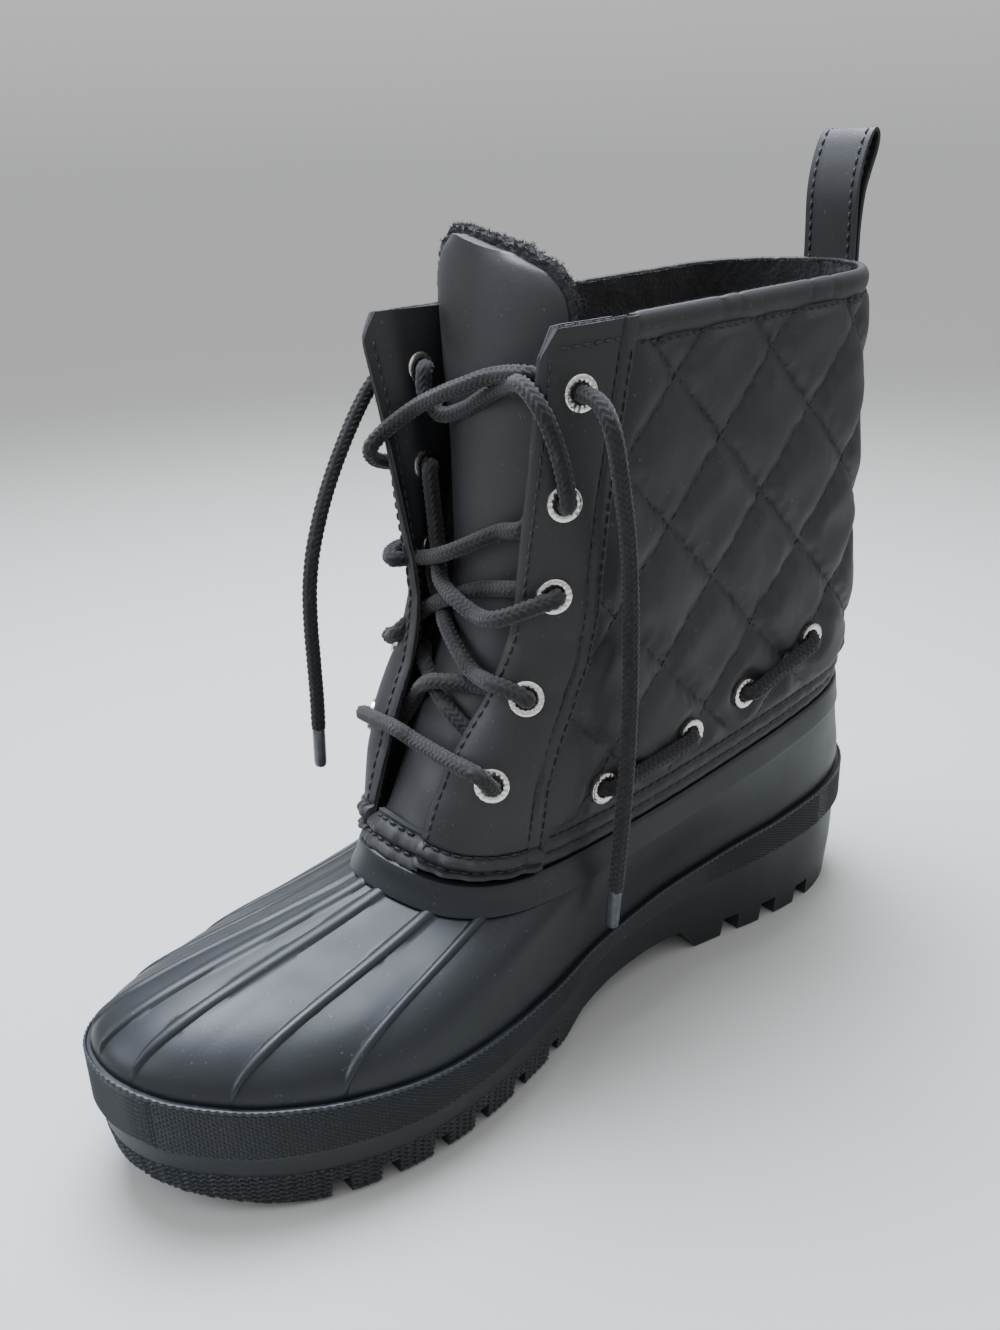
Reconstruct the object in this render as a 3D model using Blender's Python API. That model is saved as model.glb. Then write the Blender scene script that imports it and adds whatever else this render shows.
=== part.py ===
"""Right-foot lace-up rain boot: moulded rubber shell and lugged sole, quilted cloth shaft, tongue and laces.

Sizes are in millimetres and become metres when a mesh is made. +X is the toe, +Y the inner (medial) side,
+Z is up, and the boot stands on Z = 0.
"""
import bisect
import math
from collections import namedtuple

import bmesh
import bpy
import numpy as np

MM = 0.001

# Where the boot's heel-to-toe drawing sits in the frame
HEEL_TO_ORIGIN = 145.0
SIDE_SHIFT = 2.25

# Clearances and wall thicknesses
GAP = 0.3
SEAT_GAP = 0.7
SHELL_WALL = 2.4
SHAFT_WALL = 3.4
OVERLAY_WALL = 1.1

# Foxing band and sole
BAND_STEP = 1.3
BAND_LIP = 1.2
SHELL_INSET = 1.6
LEDGE_INSET = 4.8
CUP_DEPTH = 9.0
INSOLE_THICK = 4.0
INSOLE_INSET = 6.0
LUG_INSET = 3.2
STRIP_INSET = 1.9
NOTCH_WIDTH = 8.6
NOTCH_HEIGHT = 7.0
HEEL_NOTCHES = (38.6, 56.9, 74.5)
GROOVE_WIDTH = 6.6
GROOVE_HEIGHT = 6.2
FOREFOOT_GROOVES = (164.5, 182.2, 199.2, 214.2, 230.2, 243.8)
BAND_ROUND = 0.4
CUP_LEAN = 0.6
INSOLE_ROUND = 1.0
NOTCH_DRAFT = 0.8
GROOVE_DRAFT = 0.9
CUTTER_HALF = 80.0
CUTTER_FOOT = -6.0
ZONE_TOP = 25.0
ZONE_BACK = -20.0
ZONE_FRONT = 310.0
WAIST_HEAD = 2.0
# Hollow under the arch in side view, from the heel's breast to the forefoot: how far forward and how high
ARCH = ((90.0, 0.0), (97.5, 9.5), (112.0, 9.2), (132.0, 8.0), (147.0, 5.5), (158.0, 0.0))

# Raised rubber band round the top of the shell, and the ridges over the vamp
RIM_BAND = 9.5
RIM_STEP = 1.1
RIDGE_HEIGHT = 1.3
RIDGE_HALF = 0.17
RIDGES = (12.1, 13.6, 15.6, 17.0)

# Sewn pieces
COLLAR_BAND = 7.0
EYELET_OUTER = 5.6
EYELET_HOLE = 2.9
EYELET_THICK = 1.5
EYELET_SIDES = 12
EYELET_SEAT = OVERLAY_WALL + 3 * GAP
LACE_RADIUS = 2.5
LACE_DIP = 6.0
LACE_CLEAR = 2.0
TIP_RADIUS = 2.2
TIP_LENGTH = 13.0
LOOP_WIDTH = 20.0
LOOP_THICK = 1.5
LOOP_MIDDLE = 3.5
TONGUE_THICK = 5.0

# One row for each cross-section from heel to toe. The sole's edge: how far forward, and how far to the inner
# and outer side. The shell's rim above it: the same, with its height. Rise and drop set the shell's roundness
# above the band and below the rim, and lean is how far the rim band's foot stands out.
Section = namedtuple("Section", "sole_x inner outer rim_x rim_inner rim_outer rim_z rise drop lean")
SECTIONS = (
    Section(0.0, 0.0, 0.0, 5.6, 0.0, 0.0, 84.0, 14, 16, 1.0),
    Section(3.0, 14.0, -13.0, 7.5, 11.0, -11.0, 84.0, 14, 16, 1.0),
    Section(10.0, 24.0, -21.5, 13.0, 20.0, -20.0, 83.5, 14, 16, 1.0),
    Section(22.0, 31.0, -29.0, 23.0, 27.0, -27.0, 82.5, 14, 16, 1.0),
    Section(38.0, 34.5, -33.5, 38.0, 31.5, -31.5, 81.0, 14, 16, 1.0),
    Section(60.0, 34.0, -35.0, 60.0, 33.5, -34.0, 78.0, 14, 15, 1.0),
    Section(85.0, 30.5, -37.5, 84.0, 34.5, -35.0, 75.0, 13, 14, 1.0),
    Section(112.0, 28.0, -41.5, 108.0, 35.0, -36.0, 72.0, 12, 13, 1.2),
    Section(140.0, 31.5, -47.0, 130.0, 35.0, -36.5, 69.5, 12, 12, 1.5),
    Section(168.0, 40.5, -51.5, 148.0, 34.8, -36.0, 67.8, 13, 10, 2.0),
    Section(195.0, 47.0, -53.0, 162.0, 34.0, -34.5, 67.0, 14, 9, 2.5),
    Section(219.0, 48.5, -51.0, 174.0, 32.0, -31.5, 67.0, 15, 9, 3.0),
    Section(240.0, 45.0, -45.5, 183.0, 28.0, -26.5, 67.2, 15, 9, 3.5),
    Section(259.0, 37.5, -38.0, 190.0, 22.0, -20.0, 68.0, 15, 9, 4.0),
    Section(273.5, 28.0, -30.0, 195.0, 15.5, -14.0, 69.8, 15, 8.5, 4.2),
    Section(283.0, 18.5, -21.5, 198.5, 9.0, -8.5, 71.8, 15, 8, 4.3),
    Section(288.5, 8.0, -12.0, 200.3, 3.8, -3.5, 73.2, 15, 8, 4.4),
    Section(290.0, -2.0, -2.0, 200.8, 0.2, 0.2, 73.6, 15, 8, 4.4),
)
TOE_ROW = len(SECTIONS) - 1
RING_ROWS = 2 * TOE_ROW

# Heights of the sole's steps along the foot: tread face, top of the lugs' walls, foot and top of the foxing band
Step = namedtuple("Step", "x tread lug_top band_foot band_top")
STEPS = (
    Step(0.0, 3.0, 16.0, 34.0, 49.5),
    Step(10.0, 0.0, 15.0, 33.2, 48.2),
    Step(60.0, 0.0, 13.0, 29.3, 41.5),
    Step(130.0, 0.0, 11.5, 21.2, 28.7),
    Step(210.0, 0.0, 10.5, 17.9, 30.1),
    Step(247.0, 0.0, 11.5, 19.4, 34.2),
    Step(264.0, 2.4, 13.5, 20.9, 36.8),
    Step(280.0, 7.0, 16.5, 23.5, 40.3),
    Step(290.0, 10.5, 18.5, 26.0, 43.2),
)

# One row for each level of the shaft above the rim: height at the throat and at the heel, the two throat edges,
# how far the eyestay seam lies behind the edge, the half breadths, the back line and its roundness.
# A bend of 1 gives a straight flap and a larger one a flap that faces forward at its edge.
Level = namedtuple("Level", "front_z back_z edge_x edge_y far_x far_y stay inner outer back_x back_len bend")
LEVELS = (
    Level(99.0, 106.0, 186.5, 16.5, 185.0, -13.0, 24.0, 35.0, -36.0, 7.4, 34.0, 1.7),
    Level(133.0, 138.0, 168.5, 22.5, 169.0, -18.0, 21.5, 34.5, -35.5, 8.0, 34.0, 1.5),
    Level(172.0, 177.0, 163.5, 26.5, 167.5, -28.0, 23.0, 34.0, -35.0, 8.8, 33.0, 1.3),
    Level(218.5, 224.0, 159.5, 30.5, 170.0, -38.5, 29.0, 33.5, -35.0, 10.4, 32.0, 1.0),
)
# Rows of the rim that the two throat edges, the eyestay seam and the heel curve stand on
THROAT_ROW = 14.45
FAR_THROAT_ROW = 14.9
STAY_ROW = 10.4
HEEL_ROW = 4.0

# Tongue, one row for each level: height, how far forward its face is, its middle's place to the side,
# its half breadth and how far its edges fall back
Fold = namedtuple("Fold", "z face middle half fall")
TONGUE = (
    Fold(67.0, 198.2, 0.8, 7.5, 2.2),
    Fold(74.0, 197.6, 0.8, 7.5, 2.2),
    Fold(84.0, 190.0, 0.7, 11.0, 4.0),
    Fold(99.0, 178.5, 0.5, 15.5, 6.5),
    Fold(133.0, 161.5, 0.0, 21.0, 8.5),
    Fold(172.0, 156.0, -2.0, 25.0, 9.5),
    Fold(205.0, 153.5, -3.5, 27.0, 9.0),
    Fold(224.0, 152.5, -4.0, 27.0, 8.0),
    Fold(235.0, 152.0, -4.5, 22.0, 6.0),
    Fold(241.0, 151.8, -5.0, 12.0, 3.0),
)

# Eyelets: how far along from throat edge (0) to eyestay seam (1), and height, from the top one down
Eyelet = namedtuple("Eyelet", "along z")
LACE_EYELETS = (
    Eyelet(0.46, 202.0),
    Eyelet(0.47, 174.0),
    Eyelet(0.48, 149.0),
    Eyelet(0.48, 121.0),
    Eyelet(0.50, 98.5),
)
# Eyelets of the ankle cord, from front to heel: how far forward and how high
Anchor = namedtuple("Anchor", "x z")
SIDE_EYELETS = (Anchor(142.5, 86.0), Anchor(105.5, 91.5), Anchor(80.5, 98.0), Anchor(48.5, 108.5))

# Pull loop in side view: a flat strap from the collar's top edge up, over its fold and down again
LOOP_PATH = (
    (11.0, 224.4), (11.3, 234.0), (11.6, 244.0), (10.6, 251.5), (8.6, 257.5), (6.6, 261.3), (4.6, 263.0),
    (2.9, 261.4), (3.3, 257.2), (5.9, 250.8), (8.2, 244.0), (9.2, 234.0), (9.1, 224.4),
)

# Free lace ends, chosen by eye from inside the top eyelets down to their tips: forward, sideways and up
LACE_END_INNER = (
    (149.8, 34.0, 202.0), (150.4, 37.5, 202.0), (151.2, 42.7, 200.6), (151.6, 46.5, 196.8), (151.0, 48.0, 191.5),
    (149.0, 47.6, 184.0), (146.2, 46.4, 175.0), (143.2, 44.9, 165.0), (140.9, 43.5, 154.5), (139.6, 42.7, 143.5),
    (139.3, 42.6, 132.0), (140.0, 43.3, 118.0), (141.8, 44.6, 103.0), (143.8, 45.4, 88.0), (145.0, 45.0, 72.0),
    (145.2, 43.4, 56.0),
)
LACE_END_OUTER = (
    (154.0, -36.8, 201.9), (154.1, -40.5, 201.8), (154.9, -45.8, 200.7), (157.2, -49.6, 197.6),
    (160.6, -51.0, 193.2), (165.6, -50.8, 186.6), (171.4, -50.2, 178.0), (176.8, -49.8, 168.5),
    (181.6, -49.4, 158.1), (185.3, -49.0, 147.5), (187.4, -48.8, 137.0), (188.2, -48.8, 125.5),
    (188.3, -48.9, 113.5), (188.4, -49.0, 101.5), (188.8, -49.1, 90.5),
)

# Colours are linear red, green and blue
RUBBER = (0.012, 0.014, 0.018)
CLOTH = (0.010, 0.011, 0.013)
FLEECE = (0.006, 0.006, 0.007)
CORD = (0.008, 0.008, 0.009)
NICKEL = (0.60, 0.60, 0.62)
CLEAR_TIP = (0.22, 0.23, 0.25)


def material(name, colour, roughness, metallic=0.0):
    made = bpy.data.materials.new(name)
    made.use_nodes = True
    shader = made.node_tree.nodes["Principled BSDF"]
    shader.inputs["Base Color"].default_value = (*colour, 1.0)
    shader.inputs["Roughness"].default_value = roughness
    shader.inputs["Metallic"].default_value = metallic
    return made


def to_frame(point):
    return ((point[0] - HEEL_TO_ORIGIN) * MM, (point[1] + SIDE_SHIFT) * MM, point[2] * MM)


def add_mesh(name, points, faces, finish, smooth_angle=40.0):
    """A closed mesh object with its faces pointing outward."""
    mesh = bpy.data.meshes.new(name)
    mesh.from_pydata([to_frame(p) for p in points], [], faces)
    work = bmesh.new()
    work.from_mesh(mesh)
    bmesh.ops.recalc_face_normals(work, faces=work.faces)
    work.to_mesh(mesh)
    work.free()
    mesh.shade_smooth()
    mesh.set_sharp_from_angle(angle=math.radians(smooth_angle))
    made = bpy.data.objects.new(name, mesh)
    made.data.materials.append(finish)
    bpy.context.scene.collection.objects.link(made)
    return made


def add_boolean(target, tool, operation):
    tool.hide_render = True
    tool.display_type = "WIRE"
    cut = target.modifiers.new(operation.title(), "BOOLEAN")
    cut.operation = operation
    cut.solver = "EXACT"
    cut.object = tool


def smooth_row(rows, position, closed):
    """Values between the rows of a table, on a smooth curve through them."""
    count = len(rows)
    low = math.floor(position)
    part = position - low
    if not closed and low >= count - 1:
        low, part = count - 2, 1.0
    picked = []
    for step in (-1, 0, 1, 2):
        index = low + step
        index = index % count if closed else min(max(index, 0), count - 1)
        picked.append(np.array(rows[index], dtype=float))
    before, start, end, after = picked
    if not closed and low == 0:
        before = 2 * start - end
    if not closed and low + 2 >= count:
        after = 2 * end - start
    pull_in, pull_out = (end - before) / 2, (after - start) / 2
    square, cube = part * part, part ** 3
    return (start * (2 * cube - 3 * square + 1) + pull_in * (cube - 2 * square + part)
            + end * (3 * square - 2 * cube) + pull_out * (cube - square))


def step_heights(x):
    """Heights of the sole's steps at a place along the foot."""
    places = [row.x for row in STEPS]
    x = min(max(x, places[0]), places[-1])
    low = min(bisect.bisect_right(places, x) - 1, len(places) - 2)
    share = (x - places[low]) / (places[low + 1] - places[low])
    steps = Step(*smooth_row(STEPS, low + share, closed=False))
    return steps._replace(tread=max(steps.tread, 0.0))


def ring_rows():
    """The section table as one ring: heel, inner side, toe, outer side."""
    ring = [(s.sole_x, s.inner, s.rim_x, s.rim_inner, s.rim_z, s.rise, s.drop, s.lean) for s in SECTIONS]
    ring += [(s.sole_x, s.outer, s.rim_x, s.rim_outer, s.rim_z, s.rise, s.drop, s.lean)
             for s in reversed(SECTIONS[1:-1])]
    return ring


RING = ring_rows()
Place = namedtuple("Place", "sole rim rim_z sole_out rim_out rise drop lean")


def ring_place(row):
    """The sole edge and rim at a place round the ring, with the directions that point outward in plan."""
    here = smooth_row(RING, row % RING_ROWS, closed=True)
    ahead = smooth_row(RING, (row + 0.05) % RING_ROWS, closed=True)
    behind = smooth_row(RING, (row - 0.05) % RING_ROWS, closed=True)
    outward = []
    for first in (0, 2):
        along = ahead[first:first + 2] - behind[first:first + 2]
        outward.append(np.array((-along[1], along[0])) / np.linalg.norm(along))
    return Place(here[0:2], here[2:4], here[4], outward[0], outward[1], here[5], here[6], here[7])


def ridge_rows():
    """Rows of the ridges on both halves of the vamp."""
    return sorted(set(RIDGES) | {RING_ROWS - row for row in RIDGES})


def ring_samples(spacing, with_ridges=False):
    """Rows round the ring, evenly spaced, with three rows across each ridge."""
    rows = list(np.arange(0, RING_ROWS, spacing))
    if with_ridges:
        for ridge in ridge_rows():
            rows = [row for row in rows if abs(row - ridge) > RIDGE_HALF + 0.14]
            rows += [ridge - RIDGE_HALF, ridge, ridge + RIDGE_HALF]
    return sorted(rows)


def loft(rings):
    """Faces between stacked rings of points."""
    count = len(rings[0])
    points = [tuple(p) for ring in rings for p in ring]
    faces = []
    for level in range(len(rings) - 1):
        base, above = level * count, (level + 1) * count
        for index in range(count):
            nxt = (index + 1) % count
            faces.append((base + index, base + nxt, above + nxt, above + index))
    return points, faces


def cross_strips(start, count):
    """Faces that close a ring by strips from its inner to its outer side."""
    faces = [(start, start + 1, start + count - 1)]
    half = count // 2
    for index in range(1, half - 1):
        faces.append((start + index, start + index + 1, start + count - index - 1, start + count - index))
    faces.append((start + half - 1, start + half, start + half + 1))
    return faces


def edge_ring(rows, inset, height):
    """A ring on the sole's edge, moved inward, at a height that follows the place along the foot."""
    ring = []
    for row in rows:
        place = ring_place(row)
        flat = place.sole - inset * place.sole_out
        ring.append((flat[0], flat[1], height(step_heights(place.sole[0]))))
    return ring


def solid_from_rings(name, rings, finish, smooth_angle=40.0):
    count = len(rings[0])
    points, faces = loft(rings)
    faces += cross_strips(0, count)
    faces += cross_strips(count * (len(rings) - 1), count)
    return add_mesh(name, points, faces, finish, smooth_angle)


def slab(name, outline, half_width, finish):
    """A side-view outline made into a slab across the foot."""
    count = len(outline)
    points = [(x, side * half_width, z) for side in (-1, 1) for x, z in outline]
    faces = [tuple(range(count)), tuple(range(count, 2 * count))]
    for index in range(count):
        nxt = (index + 1) % count
        faces.append((index, nxt, count + nxt, count + index))
    return add_mesh(name, points, faces, finish)


def tread_zones():
    """Side-view outlines of the heel block, the waist over the arch and the forefoot tread, a gap apart."""
    foot, breast, *hollow, fore, toe = ARCH
    heel_lean = (breast[0] - foot[0]) / (breast[1] - foot[1])
    fore_lean = (toe[0] - fore[0]) / (toe[1] - fore[1])
    heel_low = (foot[0] + heel_lean * CUTTER_FOOT, CUTTER_FOOT)
    heel_high = (foot[0] + heel_lean * ZONE_TOP, ZONE_TOP)
    fore_low = (toe[0] + fore_lean * CUTTER_FOOT, CUTTER_FOOT)
    heel = ((ZONE_BACK, CUTTER_FOOT), heel_low, heel_high, (ZONE_BACK, ZONE_TOP))
    waist = ((breast[0] + GAP, breast[1]), *hollow, (fore[0] - GAP, fore[1]), (fore[0] - GAP, ZONE_TOP),
             (heel_high[0] + GAP, ZONE_TOP))
    forefoot = (fore_low, (ZONE_FRONT, CUTTER_FOOT), (ZONE_FRONT, ZONE_TOP), (fore[0], ZONE_TOP), fore)
    return heel, waist, forefoot


def tread_block(name, zone, head, finish):
    """The tread under the strip within one zone; its head is how far the top lies in the sole, or below it."""
    rows = ring_samples(0.5)
    rings = [
        edge_ring(rows, LUG_INSET, lambda s: s.tread),
        edge_ring(rows, STRIP_INSET + max(head, 0.0), lambda s: s.lug_top + head),
    ]
    block = solid_from_rings(name, rings, finish)
    add_boolean(block, slab(f"{name}_zone", zone, CUTTER_HALF, finish), "INTERSECT")
    return block


def cut_tread(block, places, width, height, draft, finish):
    """Notches or grooves across the underside of a tread block."""
    half = width / 2
    for index, x in enumerate(places):
        outline = ((x - half, CUTTER_FOOT), (x + half, CUTTER_FOOT),
                   (x + half - draft, height), (x - half + draft, height))
        add_boolean(block, slab(f"{block.name}_cutter_{index}", outline, CUTTER_HALF, finish), "DIFFERENCE")


def outsole(finish):
    """Rubber sole with the foxing band round it, a cup for the insole and the waist over the arch."""
    heel, waist, forefoot = tread_zones()
    rows = ring_samples(0.5)
    rings = [
        edge_ring(rows, STRIP_INSET, lambda s: s.lug_top),
        edge_ring(rows, BAND_STEP, lambda s: s.band_foot - BAND_ROUND),
        edge_ring(rows, 0.0, lambda s: s.band_foot + BAND_ROUND),
        edge_ring(rows, 0.0, lambda s: s.band_top - BAND_ROUND),
        edge_ring(rows, BAND_ROUND, lambda s: s.band_top),
        edge_ring(rows, SHELL_INSET - GAP, lambda s: s.band_top - BAND_LIP),
        edge_ring(rows, LEDGE_INSET, lambda s: s.band_top - BAND_LIP),
        edge_ring(rows, LEDGE_INSET + CUP_LEAN, lambda s: s.band_top - CUP_DEPTH),
    ]
    sole = solid_from_rings("outsole", rings, finish)
    add_boolean(sole, tread_block("waist", waist, WAIST_HEAD, finish), "UNION")
    heel_block = tread_block("heel_block", heel, -GAP, finish)
    cut_tread(heel_block, HEEL_NOTCHES, NOTCH_WIDTH, NOTCH_HEIGHT, NOTCH_DRAFT, finish)
    forefoot_tread = tread_block("forefoot_tread", forefoot, -GAP, finish)
    cut_tread(forefoot_tread, FOREFOOT_GROOVES, GROOVE_WIDTH, GROOVE_HEIGHT, GROOVE_DRAFT, finish)


def insole(finish):
    """Soft footbed lying in the sole's cup."""
    rows = ring_samples(0.5)
    floor = GAP - CUP_DEPTH
    rings = [
        edge_ring(rows, INSOLE_INSET, lambda s: s.band_top + floor),
        edge_ring(rows, INSOLE_INSET, lambda s: s.band_top + floor + INSOLE_THICK - INSOLE_ROUND),
        edge_ring(rows, INSOLE_INSET + INSOLE_ROUND, lambda s: s.band_top + floor + INSOLE_THICK),
    ]
    return solid_from_rings("insole", rings, finish)


def shell_point(row, rise_share):
    """A point of the shell's outer face between the foxing band and the foot of the rim band."""
    place = ring_place(row)
    low = np.append(place.sole - SHELL_INSET * place.sole_out,
                    step_heights(place.sole[0]).band_top - BAND_LIP + GAP)
    high = np.append(place.rim + place.lean * place.rim_out, place.rim_z - RIM_BAND)
    over_band = low + np.array((0.0, 0.0, place.rise))
    under_rim = np.append(high[:2] + 0.5 * (low[:2] - high[:2]), high[2] - place.drop)
    v, w = rise_share, 1.0 - rise_share
    return w ** 3 * low + 3 * w * w * v * over_band + 3 * w * v * v * under_rim + v ** 3 * high


def shell_normal(row, share):
    along = shell_point(row + 0.05, share) - shell_point(row - 0.05, share)
    up = shell_point(row, min(share + 0.02, 1.0)) - shell_point(row, max(share - 0.02, 0.0))
    normal = np.cross(up, along)
    return normal / np.linalg.norm(normal)


def ridge_lift(row, share):
    """How far a ridge stands out, fading in above the foxing band."""
    near = min(abs(row - ridge) for ridge in ridge_rows())
    if near > RIDGE_HALF / 2:
        return 0.0
    return RIDGE_HEIGHT * min(1.0, share / 0.15)


def rim_point(row, outset, below):
    place = ring_place(row)
    flat = place.rim + outset * place.rim_out
    return np.array((flat[0], flat[1], place.rim_z - below))


def rubber_shell(finish):
    """Moulded shell, open underneath and at the ankle, with vamp ridges and a raised band at its rim."""
    rows = ring_samples(0.5, with_ridges=True)
    shares = (0.0, 0.12, 0.28, 0.45, 0.62, 0.8, 1.0)
    outer = [[shell_point(r, v) + ridge_lift(r, v) * shell_normal(r, v) for r in rows] for v in shares]
    outer.append([rim_point(r, ring_place(r).lean + RIM_STEP, RIM_BAND - 0.6) for r in rows])
    outer.append([rim_point(r, RIM_STEP, 0.8) for r in rows])
    outer.append([rim_point(r, RIM_STEP - 0.8, 0.0) for r in rows])
    inner = [[rim_point(r, -SHELL_WALL, 0.0) for r in rows]]
    inner.append([rim_point(r, ring_place(r).lean - SHELL_WALL, RIM_BAND) for r in rows])
    for share in (0.8, 0.55, 0.28, 0.0):
        ring = []
        for r in rows:
            point = shell_point(r, share) - SHELL_WALL * shell_normal(r, share)
            if share == 0.0:
                point[2] = shell_point(r, 0.0)[2]
            ring.append(point)
        inner.append(ring)
    rings = outer + inner
    count = len(rows)
    points, faces = loft(rings)
    last = count * (len(rings) - 1)
    for index in range(count):
        nxt = (index + 1) % count
        faces.append((last + index, last + nxt, nxt, index))
    return add_mesh("rubber_shell", points, faces, finish, 32.0)


def level_point(level, along):
    """A point of one shaft level: 0 throat edge, 1 eyestay seam, 2 heel curve, 3 heel line, then back to 6."""
    inner_side = along <= 3.0
    s = along if inner_side else 6.0 - along
    edge_x, edge_y = (level.edge_x, level.edge_y) if inner_side else (level.far_x, level.far_y)
    half = level.inner if inner_side else level.outer
    seam_x = level.edge_x - level.stay
    if s <= 1.0:
        x = edge_x - (edge_x - seam_x) * s ** level.bend
        y = edge_y + (half - edge_y) * math.sin(s * math.pi / 2)
    elif s <= 2.0:
        x = seam_x + (level.back_x + level.back_len - seam_x) * (s - 1.0)
        y = half
    else:
        turn = (s - 2.0) * math.pi / 2
        x = level.back_x + level.back_len * (1.0 - math.sin(turn))
        y = half * math.cos(turn)
    share = (x - level.back_x) / (level.edge_x - level.back_x)
    return np.array((x, y, level.back_z + (level.front_z - level.back_z) * share))


def rim_seat(along):
    """The shaft's lower edge, standing on the shell's rim."""
    s = along if along <= 3.0 else 6.0 - along
    stops = (THROAT_ROW if along <= 3.0 else FAR_THROAT_ROW, STAY_ROW, HEEL_ROW, 0.0)
    low = min(int(s), 2)
    row = stops[low] + (stops[low + 1] - stops[low]) * (s - low)
    seat = rim_point(row if along <= 3.0 else RING_ROWS - row, -0.2, -SEAT_GAP)
    return seat


def shaft_point(along, up):
    """A point of the shaft's outer face; up runs from 0 at the rim to 1 at the collar."""
    column = [rim_seat(along)] + [level_point(level, along) for level in LEVELS]
    return smooth_row(column, up * (len(column) - 1), closed=False)


def shaft_normal(along, up):
    side = shaft_point(min(along + 0.03, 6.0), up) - shaft_point(max(along - 0.03, 0.0), up)
    rise = shaft_point(along, min(up + 0.01, 1.0)) - shaft_point(along, max(up - 0.01, 0.0))
    normal = np.cross(side, rise)
    if up == 0.0:
        normal[2] = 0.0
    return normal / np.linalg.norm(normal)


def shaft_at(along, up, offset):
    return shaft_point(along, up) + offset * shaft_normal(along, up)


def up_for_height(along, height):
    """How far up the shaft a height lies."""
    low, high = 0.0, 1.0
    for _ in range(30):
        middle = (low + high) / 2
        if shaft_point(along, middle)[2] < height:
            low = middle
        else:
            high = middle
    return low


def spread(*parts):
    """Evenly spaced values over joined stretches: start, end and the number of steps of each."""
    values = []
    for start, end, steps in parts:
        values += list(np.linspace(start, end, steps, endpoint=False))
    values.append(parts[-1][1])
    return values


ALONGS = spread((0.0, 1.0, 6), (1.0, 2.0, 5), (2.0, 3.0, 6), (3.0, 4.0, 6), (4.0, 5.0, 5), (5.0, 6.0, 6))
UPS = (0.0, 0.1, 0.2, 0.3, 0.42, 0.55, 0.68, 0.82, 1.0)


def cell(stops, value):
    """The stop below a value, and how far it lies toward the next."""
    low = min(max(bisect.bisect_right(stops, value) - 1, 0), len(stops) - 2)
    return low, (value - stops[low]) / (stops[low + 1] - stops[low])


def sheet_at(along, up, offset):
    """A point on the shaft's flat facets, or beside them, so that sheets laid on each other keep their gap."""
    column, across = cell(ALONGS, along)
    row, above = cell(UPS, up)
    corner = [[shaft_at(ALONGS[column + a], UPS[row + u], offset) for a in (0, 1)] for u in (0, 1)]
    if across > above:
        return corner[0][0] + across * (corner[0][1] - corner[0][0]) + above * (corner[1][1] - corner[0][1])
    return corner[0][0] + above * (corner[1][0] - corner[0][0]) + across * (corner[1][1] - corner[1][0])


def between(stops, start, end):
    """A start, the stops inside a stretch, and its end."""
    return [start] + [stop for stop in stops if start + 0.02 < stop < end - 0.02] + [end]


def wall_between(name, alongs, ups, lift, thickness, finish):
    """A sheet of the shaft's own shape, from one offset to another, closed on all edges."""
    count, levels = len(alongs), len(ups)
    points = [sheet_at(a, u, lift + thickness) for u in ups for a in alongs]
    points += [sheet_at(a, u, lift) for u in ups for a in alongs]
    behind = count * levels
    faces = []
    for level in range(levels - 1):
        for column in range(count - 1):
            first = level * count + column
            above = first + count
            for face in ((first, first + 1, above + 1), (first, above + 1, above)):
                faces.append(face)
                faces.append(tuple(behind + index for index in reversed(face)))
    rim = [column for column in range(count)]
    rim += [level * count + count - 1 for level in range(1, levels)]
    rim += [(levels - 1) * count + column for column in range(count - 2, -1, -1)]
    rim += [level * count for level in range(levels - 2, 0, -1)]
    for here, ahead in zip(rim, rim[1:] + rim[:1]):
        faces.append((ahead, here, behind + here, behind + ahead))
    return add_mesh(name, points, faces, finish)


def shaft(finish):
    return wall_between("shaft", ALONGS, UPS, -SHAFT_WALL, SHAFT_WALL, finish)


def eyestays(finish):
    """Smooth panels along both throat edges, up to the rear seam."""
    for name, start, end in (("eyestay_medial", 0.0, 1.0), ("eyestay_lateral", 5.0, 6.0)):
        alongs = [along for along in ALONGS if start - 0.01 < along < end + 0.01]
        wall_between(name, alongs, UPS, GAP, OVERLAY_WALL, finish)


def collar_band(finish):
    """Folded binding round the collar between the two eyestays."""
    share = COLLAR_BAND / (LEVELS[-1].back_z - LEVELS[-2].back_z) / len(LEVELS)
    ups = (1.0 - share, 1.0 - share / 2, 1.0)
    wall_between("collar_band", between(ALONGS, 1.03, 4.97), ups, GAP, OVERLAY_WALL, finish)


def tongue(finish):
    """Padded tongue behind the throat, round at its top."""
    levels = spread((0.0, len(TONGUE) - 1.0, 14))
    across = (-1.0, -0.85, -0.5, 0.0, 0.5, 0.85, 1.0)
    face, back = [], []
    for level in levels:
        row = Fold(*smooth_row(TONGUE, level, closed=False))
        front_row, back_row = [], []
        for side in across:
            x = row.face - row.fall * side * side
            thick = TONGUE_THICK * (1.0 - 0.65 * side ** 4)
            y = row.middle + side * row.half
            front_row.append((x, y, row.z))
            back_row.append((x - thick, y, row.z))
        face.append(front_row)
        back.append(back_row)
    rings = [front + rear[::-1] for front, rear in zip(face, back)]
    points, faces = loft(rings)
    count = len(rings[0])
    for start in (0, count * (len(rings) - 1)):
        for index in range(len(across) - 1):
            faces.append((start + index, start + index + 1, start + count - index - 2, start + count - index - 1))
    return add_mesh("tongue", points, faces, finish)


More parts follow.
